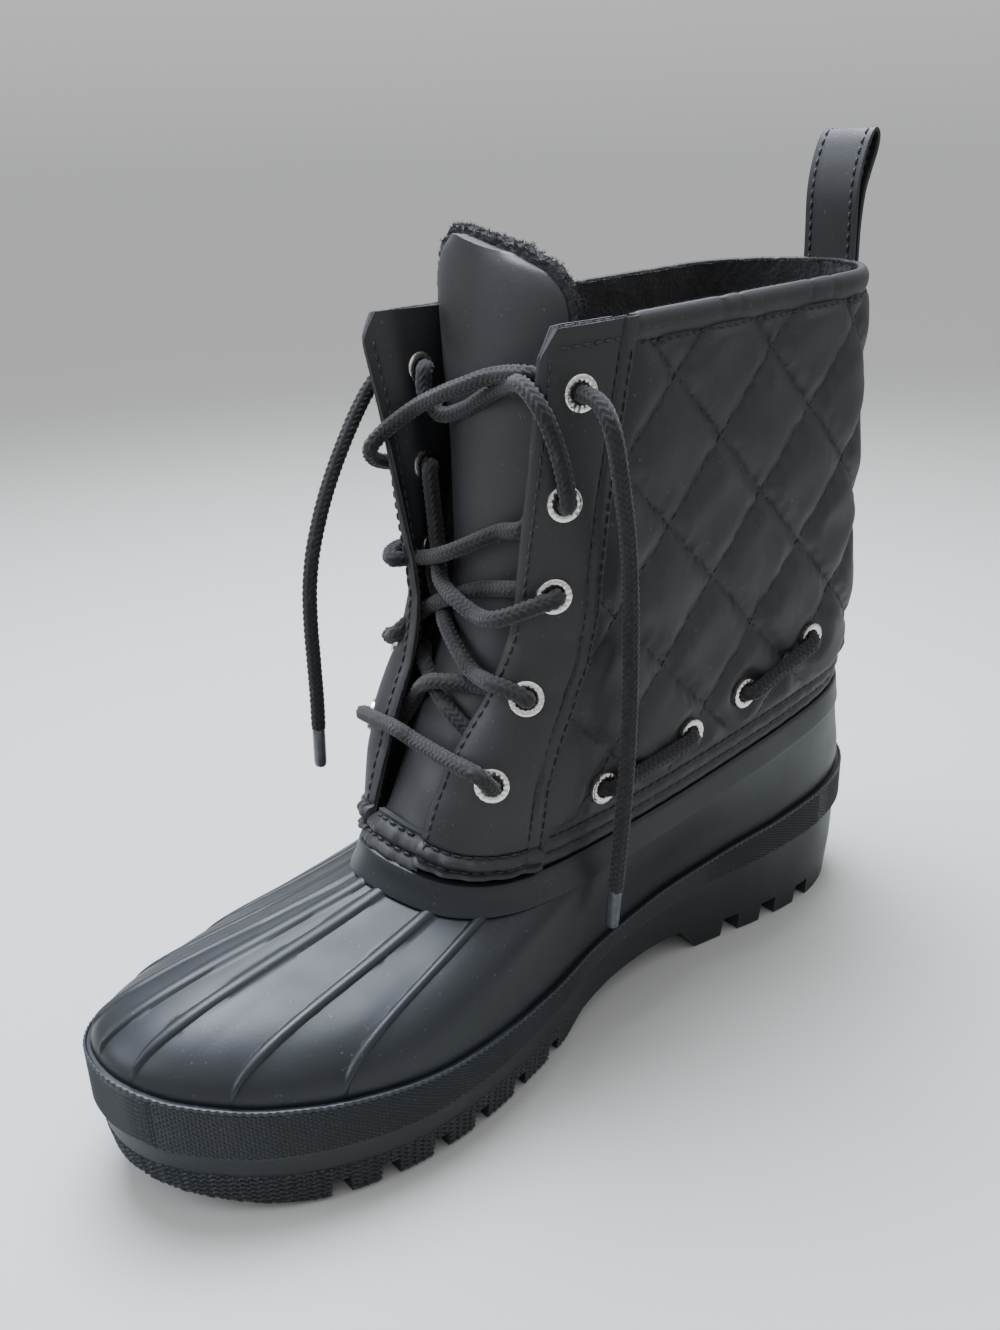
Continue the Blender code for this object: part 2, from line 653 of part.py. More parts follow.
def pull_loop(finish):
    """Sewn strap loop at the back of the collar."""
    path = [smooth_row(LOOP_PATH, p, closed=False) for p in spread((0.0, len(LOOP_PATH) - 1.0, 24))]
    rings = []
    for index, here in enumerate(path):
        along = path[min(index + 1, len(path) - 1)] - path[max(index - 1, 0)]
        out = np.array((-along[1], along[0])) / np.linalg.norm(along) * LOOP_THICK / 2
        half = LOOP_WIDTH / 2
        ring = []
        for side, face in ((-1, -1), (1, -1), (1, 1), (-1, 1)):
            ring.append((here[0] + face * out[0], LOOP_MIDDLE + side * half, here[1] + face * out[1]))
        rings.append(ring)
    points, faces = loft(rings)
    last = 4 * (len(rings) - 1)
    faces += [(0, 1, 2, 3), (last, last + 1, last + 2, last + 3)]
    return add_mesh("pull_loop", points, faces, finish)


def eyelet(name, along, up, lift, finish):
    """A metal ring pressed to the curve of the shaft."""
    side = (shaft_point(along + 0.02, up) - shaft_point(along - 0.02, up)) / 0.04
    rise = (shaft_point(along, up + 0.01) - shaft_point(along, up - 0.01)) / 0.02
    axis = shaft_normal(along, up)
    first = side / np.linalg.norm(side)
    second = np.cross(axis, first)
    grid = np.column_stack((side, rise))
    rings = []
    profile = ((EYELET_HOLE, 0.0), (EYELET_OUTER, 0.0), (EYELET_OUTER - 0.9, EYELET_THICK),
               (EYELET_HOLE + 0.6, EYELET_THICK))
    for radius, height in profile:
        ring = []
        for index in range(EYELET_SIDES):
            turn = 2 * math.pi * index / EYELET_SIDES
            reach = radius * (math.cos(turn) * first + math.sin(turn) * second)
            move = np.linalg.lstsq(grid, reach, rcond=None)[0]
            ring.append(sheet_at(along + move[0], up + move[1], lift + height))
        rings.append(ring)
    points, faces = loft(rings + [rings[0]])
    total = len(points) - EYELET_SIDES
    faces = [tuple(index % total for index in face) for face in faces]
    return add_mesh(name, points[:total], faces, finish)


def lace_eyelet_place(index, inner_side):
    row = LACE_EYELETS[index]
    along = row.along if inner_side else 6.0 - row.along
    return along, up_for_height(along, row.z)


def side_eyelet_place(index, inner_side):
    row = SIDE_EYELETS[index]
    low, high = (1.0, 2.5) if inner_side else (5.0, 3.5)
    for _ in range(30):
        middle = (low + high) / 2
        if shaft_point(middle, up_for_height(middle, row.z))[0] > row.x:
            low = middle
        else:
            high = middle
    return low, up_for_height(low, row.z)


SIDES = (("medial", True), ("lateral", False))


def eyelets(finish):
    for side, inner_side in SIDES:
        for index in range(len(LACE_EYELETS)):
            along, up = lace_eyelet_place(index, inner_side)
            eyelet(f"lace_eyelet_{side}_{index + 1}", along, up, EYELET_SEAT, finish)
        for index in range(len(SIDE_EYELETS)):
            along, up = side_eyelet_place(index, inner_side)
            eyelet(f"side_eyelet_{side}_{index + 1}", along, up, GAP, finish)


def tube(name, route, radius, sides, finish):
    """A round cord along a route, with flat ends."""
    route = [np.array(p, dtype=float) for p in route]
    rings = []
    across = None
    for index, here in enumerate(route):
        along = route[min(index + 1, len(route) - 1)] - route[max(index - 1, 0)]
        along /= np.linalg.norm(along)
        if across is None:
            across = np.cross(along, (0.31, 0.17, 0.93))
        across = across - along * np.dot(across, along)
        across /= np.linalg.norm(across)
        other = np.cross(along, across)
        turns = [2 * math.pi * k / sides for k in range(sides)]
        rings.append([here + radius * (math.cos(t) * across + math.sin(t) * other) for t in turns])
    points, faces = loft(rings)
    last = sides * (len(rings) - 1)
    faces += [tuple(range(sides)), tuple(range(last, last + sides))]
    return add_mesh(name, points, faces, finish)


def tongue_face(height):
    places = [row.z for row in TONGUE]
    low = min(max(bisect.bisect_right(places, height) - 1, 0), len(places) - 2)
    share = (height - places[low]) / (places[low + 1] - places[low])
    return Fold(*smooth_row(TONGUE, low + share, closed=False)).face


def lace_run(index, to_inner):
    """Route of one run: from beside a throat edge, over the tongue and the other flap, to the next eyelet down."""
    clear = LACE_RADIUS + GAP
    start_along, hem_along, toward = (6.0, 0.0, 1.0) if to_inner else (0.0, 6.0, -1.0)
    edge = shaft_point(start_along, up_for_height(start_along, LACE_EYELETS[index].z - LACE_DIP))
    start = edge + np.array((clear + 2 * GAP, toward * (clear + LACE_CLEAR), 0.0))
    along, up = lace_eyelet_place(index + 1, to_inner)
    over = EYELET_SEAT + EYELET_THICK + clear + GAP
    end = sheet_at(along, up, over)
    hem_point = shaft_at(hem_along, up_for_height(hem_along, LACE_EYELETS[index + 1].z + LACE_CLEAR), over)
    hem_point = hem_point + np.array((LACE_CLEAR, 0.0, 0.0))
    middle_z = (start[2] + end[2]) / 2
    over_tongue = tongue_face(middle_z) + clear + LACE_CLEAR
    middle = np.array((max(over_tongue, (start[0] + hem_point[0]) / 2), 0.0, middle_z))
    knots = [start, middle, hem_point, end]
    return [smooth_row(knots, p, closed=False) for p in spread((0.0, 3.0, 9))]


def lace_crossings(finish):
    """Each crossing of the lace over the tongue, joined where its two runs meet."""
    for index in range(len(LACE_EYELETS) - 1):
        under = tube(f"lace_cross_{index + 1}", lace_run(index, to_inner=True), LACE_RADIUS, 8, finish)
        over = tube(f"lace_over_{index + 1}", lace_run(index, to_inner=False), LACE_RADIUS, 8, finish)
        add_boolean(under, over, "UNION")


def side_laces(finish):
    """Cord that shows between two pairs of ankle eyelets on each side."""
    for side, inner_side in SIDES:
        for part, first in (("front", 0), ("rear", 2)):
            ends = [side_eyelet_place(first + step, inner_side) for step in (0, 1)]
            route = []
            for share in np.linspace(0.0, 1.0, 6):
                along = ends[0][0] + (ends[1][0] - ends[0][0]) * share
                up = ends[0][1] + (ends[1][1] - ends[0][1]) * share
                lift = LACE_RADIUS + 2 * GAP + (EYELET_THICK + 2 * GAP) * abs(2 * share - 1)
                route.append(shaft_at(along, up, lift))
            tube(f"side_lace_{side}_{part}", route, LACE_RADIUS, 8, finish)


def free_end(name, route, finish):
    """A lace end as a round cord on a smooth curve through its route."""
    spline_points = [smooth_row(route, p, closed=False) for p in spread((0.0, len(route) - 1.0, 2 * len(route)))]
    curve = bpy.data.curves.new(name, "CURVE")
    curve.dimensions = "3D"
    curve.bevel_depth = LACE_RADIUS * MM
    curve.bevel_resolution = 2
    curve.use_fill_caps = True
    line = curve.splines.new("POLY")
    line.points.add(len(spline_points) - 1)
    for place, point in zip(line.points, spline_points):
        place.co = (*to_frame(point), 1.0)
    made = bpy.data.objects.new(name, curve)
    curve.materials.append(finish)
    bpy.context.scene.collection.objects.link(made)


def lace_ends(cord, tip):
    for side, route in (("medial", LACE_END_INNER), ("lateral", LACE_END_OUTER)):
        free_end(f"lace_end_{side}", route, cord)
        end = np.array(route[-1])
        aim = end - np.array(route[-2])
        aim /= np.linalg.norm(aim)
        tube(f"lace_tip_{side}", [end + GAP * aim, end + (GAP + TIP_LENGTH) * aim], TIP_RADIUS, 10, tip)


def main():
    for old in list(bpy.data.objects):
        bpy.data.objects.remove(old, do_unlink=True)
    rubber = material("moulded_rubber", RUBBER, 0.45)
    cloth = material("coated_cloth", CLOTH, 0.7)
    fleece = material("fleece", FLEECE, 0.95)
    cord = material("braided_cord", CORD, 0.85)
    nickel = material("nickel_plate", NICKEL, 0.25, 1.0)
    tip = material("clear_tip", CLEAR_TIP, 0.2)
    outsole(rubber)
    insole(fleece)
    rubber_shell(rubber)
    shaft(cloth)
    eyestays(cloth)
    collar_band(cloth)
    tongue(cloth)
    pull_loop(cloth)
    eyelets(nickel)
    lace_crossings(cord)
    side_laces(cord)
    lace_ends(cord, tip)


main()
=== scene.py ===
"""Looks of a right lace-up rain boot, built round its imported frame.

Shapes are drawn in millimetres: X runs from the heel at 0 to the toe, +Y is the inner (medial) side
and +Z is up. They move into the frame's metres when a mesh is made.
"""
import math
from collections import namedtuple

import bmesh
import bpy
import numpy as np
from mathutils import Matrix, Vector


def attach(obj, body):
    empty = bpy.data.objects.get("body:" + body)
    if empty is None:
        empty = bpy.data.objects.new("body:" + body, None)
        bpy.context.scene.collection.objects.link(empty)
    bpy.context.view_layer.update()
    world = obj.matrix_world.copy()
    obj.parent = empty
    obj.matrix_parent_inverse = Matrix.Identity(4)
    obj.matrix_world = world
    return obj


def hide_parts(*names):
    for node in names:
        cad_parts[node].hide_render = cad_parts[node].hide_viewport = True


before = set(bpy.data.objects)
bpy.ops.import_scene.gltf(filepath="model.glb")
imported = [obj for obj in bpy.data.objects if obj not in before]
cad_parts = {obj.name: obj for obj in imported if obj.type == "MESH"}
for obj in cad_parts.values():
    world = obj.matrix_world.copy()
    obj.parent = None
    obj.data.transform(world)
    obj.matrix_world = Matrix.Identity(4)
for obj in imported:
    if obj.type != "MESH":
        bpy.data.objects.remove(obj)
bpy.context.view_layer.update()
MM = 0.001
BODY = "root"
RANDOM = np.random.default_rng(7)

# Where the heel-to-toe drawing sits in the frame
HEEL_TO_ORIGIN = 145.0
SIDE_SHIFT = 2.25

# Sizes shared with the solids
GAP = 0.3
SEAT_GAP = 0.7
SHELL_WALL = 2.4
SHAFT_WALL = 3.4
SHELL_INSET = 1.6
BAND_LIP = 1.2
BAND_STEP = 1.3
LEDGE_INSET = 4.8
CUP_DEPTH = 9.0
INSOLE_THICK = 4.0
INSOLE_INSET = 6.0
LUG_INSET = 3.2
STRIP_INSET = 1.9
RIM_BAND = 9.5
RIDGES = (12.1, 13.6, 15.6, 17.0)
NOTCH = (8.6, 7.0, 0.8)
HEEL_NOTCHES = (38.6, 56.9, 74.5)
GROOVE = (6.6, 6.2, 0.9)
FOREFOOT_GROOVES = (164.5, 182.2, 199.2, 214.2, 230.2, 243.8)
ARCH = ((90.0, 0.0), (97.5, 9.5), (112.0, 9.2), (132.0, 8.0), (147.0, 5.5), (158.0, 0.0))
COLLAR_BAND = 7.0
EYELET_SEAT = 2.0
LACE_RADIUS = 2.5
TIP_RADIUS = 2.2
TIP_LENGTH = 13.0
LOOP_WIDTH = 20.0
LOOP_THICK = 1.5
LOOP_MIDDLE = 3.5
LOOP_FOOT = 216.0

# Cross-sections from heel to toe: sole edge, rim above it, and the shell's roundness between them
Section = namedtuple("Section", "sole_x inner outer rim_x rim_inner rim_outer rim_z rise drop lean")
SECTIONS = (
    Section(0.0, 0.0, 0.0, 5.6, 0.0, 0.0, 84.0, 14, 16, 1.0),
    Section(3.0, 14.0, -13.0, 7.5, 11.0, -11.0, 84.0, 14, 16, 1.0),
    Section(10.0, 24.0, -21.5, 13.0, 20.0, -20.0, 83.5, 14, 16, 1.0),
    Section(22.0, 31.0, -29.0, 23.0, 27.0, -27.0, 82.5, 14, 16, 1.0),
    Section(38.0, 34.5, -33.5, 38.0, 31.5, -31.5, 81.0, 14, 16, 1.0),
    Section(60.0, 34.0, -35.0, 60.0, 33.5, -34.0, 78.0, 14, 15, 1.0),
    Section(85.0, 30.5, -37.5, 84.0, 34.5, -35.0, 75.0, 13, 14, 1.0),
    Section(112.0, 28.0, -41.5, 108.0, 35.0, -36.0, 72.0, 12, 13, 1.2),
    Section(140.0, 31.5, -47.0, 130.0, 35.0, -36.5, 69.5, 12, 12, 1.5),
    Section(168.0, 40.5, -51.5, 148.0, 34.8, -36.0, 67.8, 13, 10, 2.0),
    Section(195.0, 47.0, -53.0, 162.0, 34.0, -34.5, 67.0, 14, 9, 2.5),
    Section(219.0, 48.5, -51.0, 174.0, 32.0, -31.5, 67.0, 15, 9, 3.0),
    Section(240.0, 45.0, -45.5, 183.0, 28.0, -26.5, 67.2, 15, 9, 3.5),
    Section(259.0, 37.5, -38.0, 190.0, 22.0, -20.0, 68.0, 15, 9, 4.0),
    Section(273.5, 28.0, -30.0, 195.0, 15.5, -14.0, 69.8, 15, 8.5, 4.2),
    Section(283.0, 18.5, -21.5, 198.5, 9.0, -8.5, 71.8, 15, 8, 4.3),
    Section(288.5, 8.0, -12.0, 200.3, 3.8, -3.5, 73.2, 15, 8, 4.4),
    Section(290.0, -2.0, -2.0, 200.8, 0.2, 0.2, 73.6, 15, 8, 4.4),
)
TOE_ROW = len(SECTIONS) - 1
RING_ROWS = 2 * TOE_ROW
RING = np.array(
    [(s.sole_x, s.inner, s.rim_x, s.rim_inner, s.rim_z, s.rise, s.drop, s.lean) for s in SECTIONS]
    + [(s.sole_x, s.outer, s.rim_x, s.rim_outer, s.rim_z, s.rise, s.drop, s.lean)
       for s in SECTIONS[-2:0:-1]])

# Heights of the sole's steps along the foot
Step = namedtuple("Step", "x tread lug_top band_foot band_top")
STEPS = (
    Step(0.0, 3.0, 16.0, 34.0, 49.5),
    Step(10.0, 0.0, 15.0, 33.2, 48.2),
    Step(60.0, 0.0, 13.0, 29.3, 41.5),
    Step(130.0, 0.0, 11.5, 21.2, 28.7),
    Step(210.0, 0.0, 10.5, 17.9, 30.1),
    Step(247.0, 0.0, 11.5, 19.4, 34.2),
    Step(264.0, 2.4, 13.5, 20.9, 36.8),
    Step(280.0, 7.0, 16.5, 23.5, 40.3),
    Step(290.0, 10.5, 18.5, 26.0, 43.2),
)

# Levels of the shaft above the rim: throat and heel heights, throat edges, eyestay depth, breadths,
# back line and how sharply the flap bends
Level = namedtuple(
    "Level", "front_z back_z edge_x edge_y far_x far_y stay inner outer back_x back_len bend")
LEVELS = (
    Level(99.0, 106.0, 186.5, 16.5, 185.0, -13.0, 24.0, 35.0, -36.0, 7.4, 34.0, 1.7),
    Level(133.0, 138.0, 168.5, 22.5, 169.0, -18.0, 21.5, 34.5, -35.5, 8.0, 34.0, 1.5),
    Level(172.0, 177.0, 163.5, 26.5, 167.5, -28.0, 23.0, 34.0, -35.0, 8.8, 33.0, 1.3),
    Level(218.5, 224.0, 159.5, 30.5, 170.0, -38.5, 29.0, 33.5, -35.0, 10.4, 32.0, 1.0),
)
# Places round the sole's ring where the shaft's edges and seams meet the rim
THROAT_ROW = 14.45
FAR_THROAT_ROW = 14.9
STAY_ROW = 10.4
HEEL_ROW = 4.0

# Tongue from its foot to its round top: height, face, middle, half breadth and how far the edges fall back
Fold = namedtuple("Fold", "z face middle half fall")
TONGUE = (
    Fold(67.0, 198.2, 0.8, 7.5, 2.2),
    Fold(74.0, 197.6, 0.8, 7.5, 2.2),
    Fold(84.0, 190.0, 0.7, 11.0, 4.0),
    Fold(99.0, 178.5, 0.5, 15.5, 6.5),
    Fold(133.0, 161.5, 0.0, 21.0, 8.5),
    Fold(172.0, 156.0, -2.0, 25.0, 9.5),
    Fold(205.0, 153.5, -3.5, 27.0, 9.0),
    Fold(224.0, 152.5, -4.0, 27.0, 8.0),
    Fold(235.0, 152.0, -4.5, 22.0, 6.0),
    Fold(241.0, 151.8, -5.0, 12.0, 3.0),
)

# Lace eyelets by their place along the flap and height, ankle eyelets by their place on the side
Eyelet = namedtuple("Eyelet", "along z")
LACE_EYELETS = (Eyelet(0.46, 202.0), Eyelet(0.47, 174.0), Eyelet(0.48, 149.0), Eyelet(0.48, 121.0),
                Eyelet(0.50, 98.5))
Anchor = namedtuple("Anchor", "x z")
SIDE_EYELETS = (Anchor(142.5, 86.0), Anchor(105.5, 91.5), Anchor(80.5, 98.0), Anchor(48.5, 108.5))

# Middle line of the pull loop's strap, up the outside, over the fold and down the inside
LOOP_PATH = (
    (11.0, 224.4), (11.3, 234.0), (11.6, 244.0), (10.6, 251.5), (8.6, 257.5), (6.6, 261.3), (4.6, 263.0),
    (2.9, 261.4), (3.3, 257.2), (5.9, 250.8), (8.2, 244.0), (9.2, 234.0), (9.1, 224.4),
)

# Free lace ends, from inside the top eyelets down to their tips
LACE_END_INNER = (
    (149.8, 34.0, 202.0), (150.4, 37.5, 202.0), (151.2, 42.7, 200.6), (151.6, 46.5, 196.8),
    (151.0, 48.0, 191.5), (149.0, 47.6, 184.0), (146.2, 46.4, 175.0), (143.2, 44.9, 165.0),
    (140.9, 43.5, 154.5), (139.6, 42.7, 143.5), (139.3, 42.6, 132.0), (140.0, 43.3, 118.0),
    (141.8, 44.6, 103.0), (143.8, 45.4, 88.0), (145.0, 45.0, 72.0), (145.2, 43.4, 56.0),
)
LACE_END_OUTER = (
    (154.0, -36.8, 201.9), (154.1, -40.5, 201.8), (154.9, -45.8, 200.7), (157.2, -49.6, 197.6),
    (160.6, -51.0, 193.2), (165.6, -50.8, 186.6), (171.4, -50.2, 178.0), (176.8, -49.8, 168.5),
    (181.6, -49.4, 158.1), (185.3, -49.0, 147.5), (187.4, -48.8, 137.0), (188.2, -48.8, 125.5),
    (188.3, -48.9, 113.5), (188.4, -49.0, 101.5), (188.8, -49.1, 90.5),
)

# Quilting: two families of stitched lines, each with its slope, first line and spacing up the shaft
QuiltLine = namedtuple("QuiltLine", "slope first spacing")
QUILT = (QuiltLine(1.03, 85.0, 44.0), QuiltLine(-1.08, 325.0, 40.0))
# Height of a puff, depth of its stitched channel, how far the puff takes to rise, its slack and its puckers
PUFF = 3.0
CHANNEL = 1.0
PUFF_REACH = 8.0
SLACK = 0.5
PUCKER = 0.22
PUCKER_PITCH = 6.6
# Mesh columns of the shaft at the throat edge, eyestay seam, heel curve, heel line and back again
SHAFT_STOPS = (0, 22, 102, 140, 178, 258, 280)
SHAFT_LEVELS = (26, 79)

# Creases of the shaft at the ankle: start and end (along the foot, height), depth and half width
Crease = namedtuple("Crease", "x1 z1 x2 z2 depth half")
CREASES = (
    Crease(139.0, 152.0, 118.0, 141.0, 1.1, 4.0),
    Crease(138.0, 133.0, 112.0, 128.0, 0.9, 3.5),
    Crease(74.0, 148.0, 76.0, 120.0, 1.2, 4.0),
    Crease(52.0, 150.0, 30.0, 139.0, 1.3, 5.0),
    Crease(58.0, 128.0, 34.0, 122.0, 1.0, 4.5),
)

# Hem at the shaft's foot: heights of its two seams, and how it leans back over the throat's foot
HEM_SEAMS = (3.2, 8.2)
HEM_LEAN = 0.6
HEM_SHARE = 0.09
HEM_COLUMNS = 121
HEM_LEVELS = 25

# Fleece lining: where it starts and ends along the shaft, its mesh and the height of its nap
LINING_SPAN = (0.78, 5.22)
LINING_COLUMNS = 161
LINING_LEVELS = 81
LINING_NAP = 0.24

# Flaps: folded strip at the eyestay's rear seam, cut top front corner along and up the shaft, and meshes
STAY_STRIP = 4.0
CORNER_CUT = 0.12
CORNER_START = 0.962
PANEL_FOOT = 0.012
PANEL_COLUMNS = 37
PANEL_LEVELS = (34, 87)
FACING_REACH = 0.84
FACING_COLUMNS = 25
FACING_LEVELS = 81

# Soft creases across the eyestay where the ankle bends: share of the way up, tilt, depth and half width
StayCrease = namedtuple("StayCrease", "up tilt depth half")
STAY_CREASES = (
    StayCrease(0.60, 0.03, 0.35, 0.022),
    StayCrease(0.535, -0.03, 0.5, 0.02),
    StayCrease(0.40, 0.02, 0.45, 0.024),
    StayCrease(0.23, -0.02, 0.4, 0.026),
)

# Collar roll, from its seam over the top and down inside: outward and upward, in millimetres
ROLL_PROFILE = (
    (-0.6, -7.6), (0.2, -6.6), (0.8, -5.4), (1.15, -3.9), (1.15, -2.3), (0.7, -0.8), (-0.1, 0.3),
    (-1.1, 0.6), (-2.1, 0.2), (-2.6, -0.9), (-2.4, -2.0), (-1.5, -3.0), (-0.9, -5.0), (-0.8, -7.6),
)
ROLL_COLUMNS = 481

# Tongue: mesh, and the level from which its fleece edge shows loose fibres
TONGUE_LEVELS = 101
TONGUE_COLUMNS = 33
TONGUE_FUZZ_FROM = 32

# Rim band from its foot to its top: share of the shell's lean, step outward, drop below the rim, ledge
RIM_PROFILE = (
    (1.0, 0.85, 9.4, 0.0), (1.0, 1.1, 9.0, 0.0), (0.94, 1.15, 8.4, 0.0),
    (0.6, 1.1, 6.0, 0.2), (0.3, 1.1, 3.2, 0.5), (0.12, 1.1, 1.4, 0.8),
    (0.03, 0.9, 0.4, 0.9), (0.0, 0.3, 0.0, 0.9), (0.0, -0.6, 0.0, 0.0),
)

# Ribs of the vamp, how much flatter the shell is drawn on the vamp's outer side, and the shell's mesh
RIB_HEIGHT = 1.15
FLATTER = 2.4
SHELL_LEVELS = 49
SHELL_INNER_LEVELS = (38, 26, 13, 0)

# Knurling of the foxing band: columns round the sole, rows up it and depth, drawn coarser so that it shows
BAND_COLUMNS = 1240
KNURL_ROWS = 40
KNURL_DEPTH = 0.6

# Zig-zag relief of the lug walls: length and height of one tooth, depth, and levels of the mesh
ZIGZAG_PERIOD = 2.5
ZIGZAG_PITCH = 1.7
ZIGZAG_DEPTH = 0.8
TREAD_LEVELS = 49

# Edges of the sole: insets and heights above the lugs' top, above the band's foot, and below the band's lip
STRIP_FOOT = ((STRIP_INSET + 0.25, -0.6), (STRIP_INSET, 0.0), (STRIP_INSET - 0.1, 0.8))
STRIP_TOP = (
    (BAND_STEP + 0.1, -2.2), (BAND_STEP, -1.5), (BAND_STEP + 0.1, -1.0), (BAND_STEP + 0.8, -0.6),
    (BAND_STEP + 0.8, -0.1), (0.3, 0.2),
)
# The lip's last number says which of its edges have the ticks
LIP_PROFILE = (
    (0.35, 1.4, 0), (-0.1, 1.1, 1), (-0.15, 0.5, 1), (0.0, 0.1, 1), (0.25, 0.0, 0), (0.6, 0.5, 0),
    (SHELL_INSET - 0.05, 0.5, 0), (SHELL_INSET - 0.05, BAND_LIP, 0), (LEDGE_INSET, BAND_LIP, 0),
    (LEDGE_INSET + 0.6, CUP_DEPTH, 0),
)
# Cutters of the arch, notches and grooves: how low they start and how far they reach to each side
CUT_FLOOR = -6.0
CUT_HALF = 80.0
FOOTBED_COLUMNS = 300
# Bends of rubber sharper than these angles are drawn as edges
RUBBER_SMOOTH = 32.0
BAND_SMOOTH = 30.0

# Eyelet ring, a little smaller than its solid, from its outer edge to its hole: radius, height and how much
# of a dent it shows; then its dents, its sides, how deep the lace rings sink in and the barrels' lengths
EYELET_OUTER = 5.0
EYELET_HOLE = 2.65
EYELET_PROFILE = (
    (EYELET_OUTER, -0.5, 0.0), (EYELET_OUTER, 0.3, 0.0), (4.9, 0.75, 0.2), (4.6, 1.0, 1.0),
    (3.9, 1.08, 1.0), (3.2, 1.0, 1.0), (2.8, 0.65, 0.2), (EYELET_HOLE, 0.0, 0.0),
)
EYELET_DENT = 0.2
EYELET_DENTS = 15
EYELET_SIDES = 60
EYELET_SINK = 0.4
LACE_BARREL = 6.7
ANKLE_BARREL = 3.4

# Braid of the cords: mesh sides and step, columns of yarn, length of one yarn's turn, its slant and height,
# drawn a little coarser than real so that it shows
BRAID_SIDES = 40
BRAID_STEP = 0.48
BRAID_COLUMNS = 8
BRAID_PITCH = 2.0
BRAID_SLANT = 1.1
YARN_HEIGHT = 0.58
CORD_SMOOTH = 75.0

# Film tip from the cord outward: distance along it and share of its radius
TIP_PROFILE = ((0.0, 0.86), (0.4, 0.97), (1.5, 1.0), (11.0, 1.0), (12.4, 0.96), (TIP_LENGTH, 0.8))
TIP_SIDES = 24
TIP_FLAT = 0.92

# Lace runs: lifts through the eyelet that a run leaves, points between, lifts through the one it enters
LaceRun = namedtuple("LaceRun", "crossing start start_lifts between end end_lifts")
FROM_INSIDE = (1.0, -3.0, -6.9)
TO_INSIDE = (-6.9, -3.0, 1.0)
FROM_OUTSIDE = (-3.0, 1.0, 4.6)
TO_OUTSIDE = (4.6, 1.0, -3.0)
NEAR, FAR = True, False
LACE_RUNS = (
    LaceRun(1, (NEAR, 1), FROM_INSIDE,
            ((158.0, 23.5, 206.6), (159.5, 11.0, 205.3), (161.6, 1.5, 202.2), (162.6, -10.0, 198.0),
             (163.2, -22.0, 192.8), (168.0, -30.5, 186.0), (171.4, -33.5, 181.0), (167.5, -37.2, 176.5)),
            (FAR, 2), TO_OUTSIDE),
    LaceRun(1, (FAR, 1), FROM_INSIDE,
            ((156.4, -25.5, 202.5), (157.6, -24.0, 196.5), (156.8, -18.0, 191.0), (156.2, -8.0, 193.2),
             (156.8, 3.5, 198.6), (157.6, 13.5, 202.6), (161.6, 24.5, 204.8), (162.2, 32.6, 199.6),
             (159.0, 34.1, 191.2), (156.7, 35.3, 181.2)),
            (NEAR, 2), TO_OUTSIDE),
    LaceRun(2, (NEAR, 2), FROM_INSIDE,
            ((160.2, 22.5, 166.3), (159.6, 11.7, 162.9), (162.6, 4.9, 159.5), (165.0, -5.8, 154.2),
             (163.4, -18.0, 149.6), (165.4, -25.0, 148.2), (170.8, -26.5, 148.6), (167.6, -32.0, 149.0)),
            (FAR, 3), TO_OUTSIDE),
    LaceRun(2, (FAR, 2), FROM_INSIDE,
            ((157.0, -24.6, 172.0), (157.2, -23.0, 158.5), (159.0, -19.5, 149.5), (164.6, -10.8, 144.2),
             (168.8, 1.5, 142.8), (169.6, 12.1, 141.0), (171.6, 21.5, 142.8), (169.8, 27.3, 144.9),
             (164.9, 32.3, 147.6)),
            (NEAR, 3), TO_OUTSIDE),
    LaceRun(3, (NEAR, 3), FROM_INSIDE,
            ((161.6, 21.5, 149.0), (161.4, 8.4, 145.9), (163.0, 1.3, 143.6), (163.9, -7.4, 139.8),
             (163.2, -18.0, 134.6), (166.4, -23.0, 130.2), (172.4, -24.2, 126.4), (171.0, -30.0, 122.8)),
            (FAR, 4), TO_OUTSIDE),
    LaceRun(3, (FAR, 3), FROM_INSIDE,
            ((159.0, -22.8, 143.0), (161.0, -16.2, 133.6), (166.4, -6.8, 131.6), (170.2, 4.9, 126.9),
             (171.4, 13.0, 124.0), (174.8, 24.6, 126.0), (171.9, 31.3, 124.4)),
            (NEAR, 4), TO_OUTSIDE),
    LaceRun(4, (FAR, 4), FROM_INSIDE,
            ((168.0, -17.0, 117.8), (169.4, -12.0, 114.6), (173.2, -3.5, 113.4), (175.6, 3.9, 112.4),
             (175.4, 9.2, 109.4), (174.4, 14.0, 105.6)),
            (NEAR, 5), TO_INSIDE),
    LaceRun(4, (NEAR, 4), FROM_INSIDE,
            ((169.4, 19.0, 120.6), (170.6, 10.3, 119.6), (174.4, 3.5, 119.4), (176.0, -3.0, 117.8),
             (173.6, -12.0, 112.0), (174.0, -17.0, 105.0)),
            (FAR, 5), TO_INSIDE),
    LaceRun(4, (NEAR, 5), FROM_OUTSIDE,
            ((187.5, 34.0, 105.6), (188.5, 25.1, 106.1), (187.5, 13.9, 105.1), (187.0, 3.4, 104.8),
             (187.5, -5.0, 105.7)),
            (FAR, 5), TO_OUTSIDE),
)
# Ankle cord between two eyelets: share of the way, and lift off the shaft
ANKLE_CORD = (
    (0.0, -4.0), (0.0, 0.5), (0.07, 3.2), (0.3, 3.1), (0.5, 2.9), (0.7, 3.1), (0.93, 3.2), (1.0, 0.5),
    (1.0, -4.0),
)

# Sewing thread, drawn a little thick so that it shows
STITCH_SPACING = 3.3
STITCH_LENGTH = 2.5
STITCH_RADIUS = 0.42
# One stitch from end to end: share of its length, breadth and rise
STITCH_PROFILE = ((-0.5, 0.45, -0.5), (-0.3, 0.95, 0.15), (0.3, 0.95, 0.15), (0.5, 0.45, -0.5))
STITCH_SIDES = 6
STITCH_SMOOTH = 60.0
